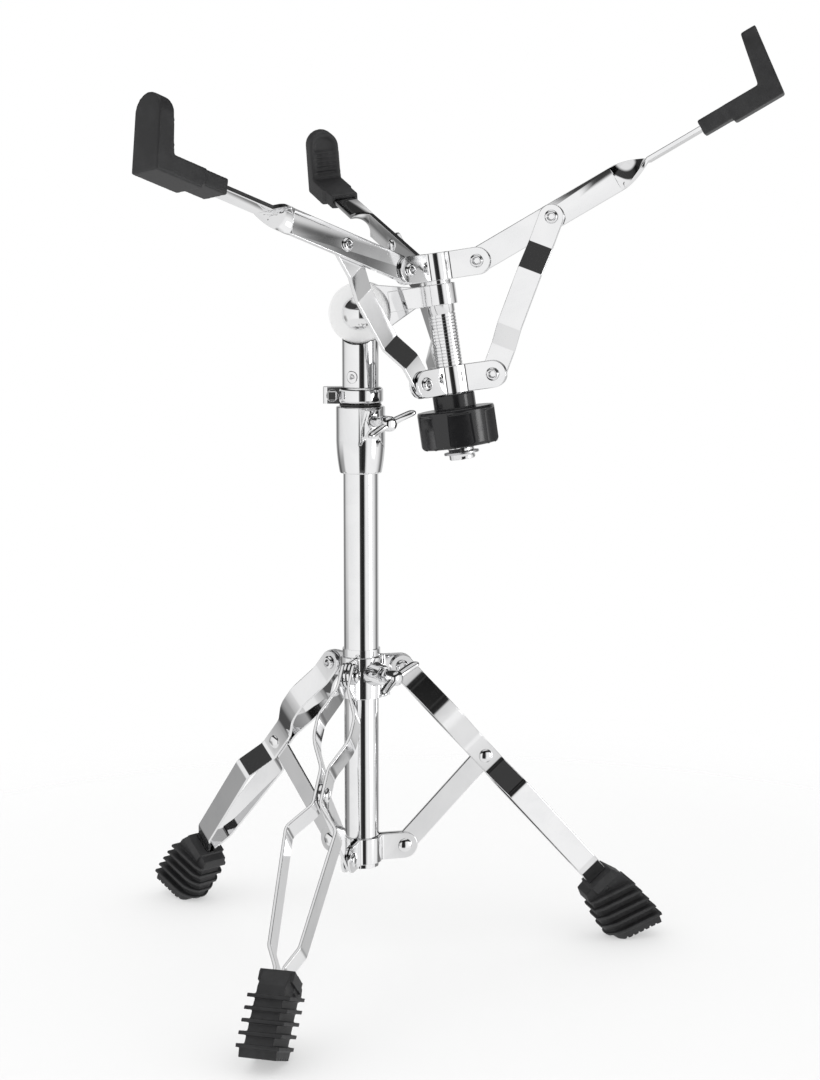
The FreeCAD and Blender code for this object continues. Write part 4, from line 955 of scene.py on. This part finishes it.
class DRUMSTAND_OT_tilter(bpy.types.Operator):
    """Finish the ratchet tilter with its nylon discs, bolt and wing nut"""

    bl_idname = "drumstand.tilter"
    bl_label = "Tilter"

    def execute(self, context):
        settings = context.scene.drum_stand
        chrome = chrome_material(settings.chrome)
        plastic = settings.plastic
        nylon = plastic_material("white_nylon", plastic.tilter, roughness=0.3, relief=0.08)
        for node in ("tilter_disc", "tilter_ratchet"):
            rounded(node, plastic.disc_edge, THIN_STEPS, nylon)
        for node in ("tilter_cup", "tilter_bolt", "tilter_washer", "tilter_wing_nut"):
            rounded(node, settings.sheet.tube_edge, THIN_STEPS, chrome)
        for node in ("tilter_arm", "tilter_strap"):
            rounded(node, settings.sheet.strip_edge, STRONG_STEPS, chrome)
        return {"FINISHED"}


class DRUMSTAND_OT_rod(bpy.types.Operator):
    """Cut the basket rod's thread and seat its retaining ring"""

    bl_idname = "drumstand.rod"
    bl_label = "Threaded Rod"

    def execute(self, context):
        settings = context.scene.drum_stand
        chrome = chrome_material(settings.chrome)
        sizes = settings.thread
        origin, axis = joint_line("knob_turn")
        place = frame_on(axis, origin)
        low, high = reach_along("basket_rod", origin, axis)
        clip_low, clip_high = reach_along("rod_clip", origin, axis)
        offsets = [vertex.co - origin for vertex in frame["nodes"]["basket_rod"].data.vertices]
        radius = max((offset - axis * offset.dot(axis)).length for offset in offsets)
        core = radius - sizes.rod_depth
        plain = high - sizes.rod_plain
        chamfer = sizes.rod_depth
        mesh = bmesh.new()
        turned_profile(mesh, place, [
            (low, core - chamfer),
            (low + chamfer, core),
            (plain - chamfer, core),
            (plain, radius),
            (high - chamfer, radius),
            (high, radius - chamfer),
        ], ROD_POINTS)
        points = sizes.points
        thread(mesh, place, radius, sizes.rod_depth, sizes.rod_pitch, low, clip_low, points)
        thread(mesh, place, radius, sizes.rod_depth, sizes.rod_pitch, clip_high, plain, points)
        smooth_all(mesh)
        place_piece(new_piece("finished_basket_rod", mesh), "basket_rod", chrome)
        steel = steel_material(settings.steel)
        rounded("rod_clip", settings.sheet.tube_edge, THIN_STEPS, steel)
        return {"FINISHED"}


class DRUMSTAND_OT_basket(bpy.types.Operator):
    """Finish the basket's spiders, arms and links"""

    bl_idname = "drumstand.basket"
    bl_label = "Basket"

    def execute(self, context):
        settings = context.scene.drum_stand
        chrome = chrome_material(settings.chrome)
        for node in ("upper_spider_plates", "lower_spider_plates"):
            rounded(node, settings.sheet.plate_edge, THIN_STEPS, chrome)
        for node in nodes_like("arm_", "link_"):
            rounded(node, settings.sheet.strip_edge, STRONG_STEPS, chrome)
        return {"FINISHED"}


class DRUMSTAND_OT_grips(bpy.types.Operator):
    """Mould the rubber grips"""

    bl_idname = "drumstand.grips"
    bl_label = "Rubber Grips"

    def execute(self, context):
        settings = context.scene.drum_stand
        rubber = rubber_material(settings.rubber)
        for node in nodes_like("grip_"):
            moulded(node, settings.rubber.grip_skin, settings.rubber.grip_relaxing, rubber)
        return {"FINISHED"}


class DRUMSTAND_OT_knob(bpy.types.Operator):
    """Mould the fluted tension knob"""

    bl_idname = "drumstand.knob"
    bl_label = "Tension Knob"

    def execute(self, context):
        plastic = context.scene.drum_stand.plastic
        black = plastic_material("black_plastic", plastic.knob, roughness=0.16, relief=0.12)
        rounded("tension_knob", plastic.knob_edge, STRONG_STEPS, black)
        return {"FINISHED"}


def floor_piece(stage):
    """Round floor that fades into the backdrop at its rim."""
    mesh = bmesh.new()
    bmesh.ops.create_circle(mesh, cap_ends=True, segments=FLOOR_POINTS, radius=stage.floor_far)
    floor = new_piece("floor", mesh)
    floor.location.z = -FLOOR_DROP
    floor.visible_glossy = False
    material, shader = new_material("pale_floor")
    place = shader.place()
    away = shader.add("ShaderNodeVectorMath", {"operation": "LENGTH"}, {0: place}, "Value")
    fade = shader.step(away, stage.floor_near, stage.floor_far)
    fade = fade * (1 - stage.floor_clear) + stage.floor_clear
    grain = shader.noise(place, scale=300.0, detail=3.0)
    solid = shader.add("ShaderNodeBsdfPrincipled", {}, {
        "Base Color": rgba(stage.floor),
        "Roughness": grain * FLOOR_UNEVEN + FLOOR_ROUGHNESS,
    })
    clear = shader.add("ShaderNodeBsdfTransparent")
    shader.surface(shader.add("ShaderNodeMixShader", {}, {0: fade, 1: solid, 2: clear}))
    floor.data.materials.append(material)


def cad_centre():
    low, high = (Vector(corner) for corner in cad_box)
    return (low + high) / 2


def studio_world(stage):
    """White backdrop that metal sees as a studio: toned walls, dark ceiling, window and skylight."""
    world = bpy.data.worlds.new("studio")
    bpy.context.scene.world = world
    shader = Shader(world)
    x, y, z = shader.split(shader.add("ShaderNodeTexCoord", {}, {}, "Generated"))
    middle = cad_centre()
    facing = math.atan2(stage.camera_place[1] - middle.y, stage.camera_place[0] - middle.x)
    ahead = x * math.cos(facing) + y * math.sin(facing)
    aside = y * math.cos(facing) - x * math.sin(facing)
    bearing = aside.maths("ARCTAN2", aside, ahead) * math.degrees(1)
    tones = [(angle / FULL_TURN + 0.5, tone) for angle, tone in WALL_TONES]
    walls = shader.ramp(bearing / FULL_TURN + 0.5, *tones)
    shaded = (1 - shader.step(bearing, *SHADED_SIDE)) * (1 - shader.step(z, *SHADED_HEIGHTS))
    above_ground = shader.step(z, *GROUND_HEIGHTS)
    window = shader.band(bearing, *WINDOW_SIDES) * shader.band(z, *WINDOW_HEIGHTS) * stage.window
    drop = shader.band(bearing, *LOW_CEILING_SIDES) * LOW_CEILING_DROP
    ceiling = shader.step(z + drop, stage.ceiling_low, stage.ceiling_high) * CEILING_SHARE
    skylight = shader.step(z, *SKYLIGHT_HEIGHTS) * stage.skylight
    room = walls * (1 - shaded * SHADED_SHARE) * above_ground + (1 - above_ground) * stage.ground
    seen = (room + window) * (1 - ceiling) + skylight
    glossy = shader.add("ShaderNodeLightPath", {}, {}, "Is Glossy Ray")
    grey = shader.add("ShaderNodeCombineColor", {}, {0: seen, 1: seen, 2: seen})
    tone = shader.blend(glossy, rgba(stage.backdrop), grey)
    light = shader.add("ShaderNodeBackground", {}, {"Color": tone, "Strength": 1.0})
    shader.add("ShaderNodeOutputWorld", {}, {"Surface": light})


def soft_lamp(name, place, aim, size, power):
    """Large square lamp that is not seen in the metal."""
    data = bpy.data.lights.new(name, "AREA")
    data.size = size
    data.energy = power
    lamp = bpy.data.objects.new(name, data)
    lamp.location = place
    lamp.rotation_euler = (Vector(aim) - Vector(place)).to_track_quat("-Z", "Y").to_euler()
    lamp.visible_glossy = False
    bpy.context.scene.collection.objects.link(lamp)


class DRUMSTAND_OT_stage(bpy.types.Operator):
    """Lay the floor, light the stand and set the camera"""

    bl_idname = "drumstand.stage"
    bl_label = "Stage"

    def execute(self, context):
        stage = context.scene.drum_stand.stage
        context.scene.view_settings.view_transform = "Standard"
        floor_piece(stage)
        studio_world(stage)
        soft_lamp("key", LAMP_PLACE, LAMP_AIM, LAMP_SIZE, LAMP_POWER)
        data = bpy.data.cameras.new("camera")
        data.sensor_width = FILM_WIDTH
        data.lens = stage.lens
        camera = bpy.data.objects.new("camera", data)
        camera.location = stage.camera_place
        camera.rotation_euler = (math.pi / 2 - stage.camera_pitch, 0, stage.camera_heading)
        context.scene.collection.objects.link(camera)
        context.scene.camera = camera
        return {"FINISHED"}


PIECES = (
    DRUMSTAND_OT_tubes,
    DRUMSTAND_OT_legs,
    DRUMSTAND_OT_feet,
    DRUMSTAND_OT_rivets,
    DRUMSTAND_OT_wing_screws,
    DRUMSTAND_OT_tilter,
    DRUMSTAND_OT_rod,
    DRUMSTAND_OT_basket,
    DRUMSTAND_OT_grips,
    DRUMSTAND_OT_knob,
    DRUMSTAND_OT_stage,
)


class DRUMSTAND_PT_panel(bpy.types.Panel):
    """Lists the steps that finish the drum stand"""

    bl_idname = "DRUMSTAND_PT_panel"
    bl_label = "Drum Stand"
    bl_space_type = "VIEW_3D"
    bl_region_type = "UI"
    bl_category = "Drum Stand"

    def draw(self, context):
        column = self.layout.column(align=True)
        for piece in PIECES:
            column.operator(piece.bl_idname)


CLASSES = (
    ChromeFinish,
    SteelFinish,
    RubberFinish,
    PlasticFinish,
    SheetSizes,
    ThreadSizes,
    WingSizes,
    StageSettings,
    StandSettings,
    *PIECES,
    DRUMSTAND_PT_panel,
)


def register():
    for each in CLASSES:
        bpy.utils.register_class(each)
    bpy.types.Scene.drum_stand = PointerProperty(type=StandSettings)


def unregister():
    del bpy.types.Scene.drum_stand
    for each in reversed(CLASSES):
        bpy.utils.unregister_class(each)


def main():
    register()
    bpy.ops.drumstand.tubes()
    bpy.ops.drumstand.legs()
    bpy.ops.drumstand.feet()
    bpy.ops.drumstand.rivets()
    bpy.ops.drumstand.wing_screws()
    bpy.ops.drumstand.tilter()
    bpy.ops.drumstand.rod()
    bpy.ops.drumstand.basket()
    bpy.ops.drumstand.grips()
    bpy.ops.drumstand.knob()
    bpy.ops.drumstand.stage()


if __name__ == "__main__":
    main()
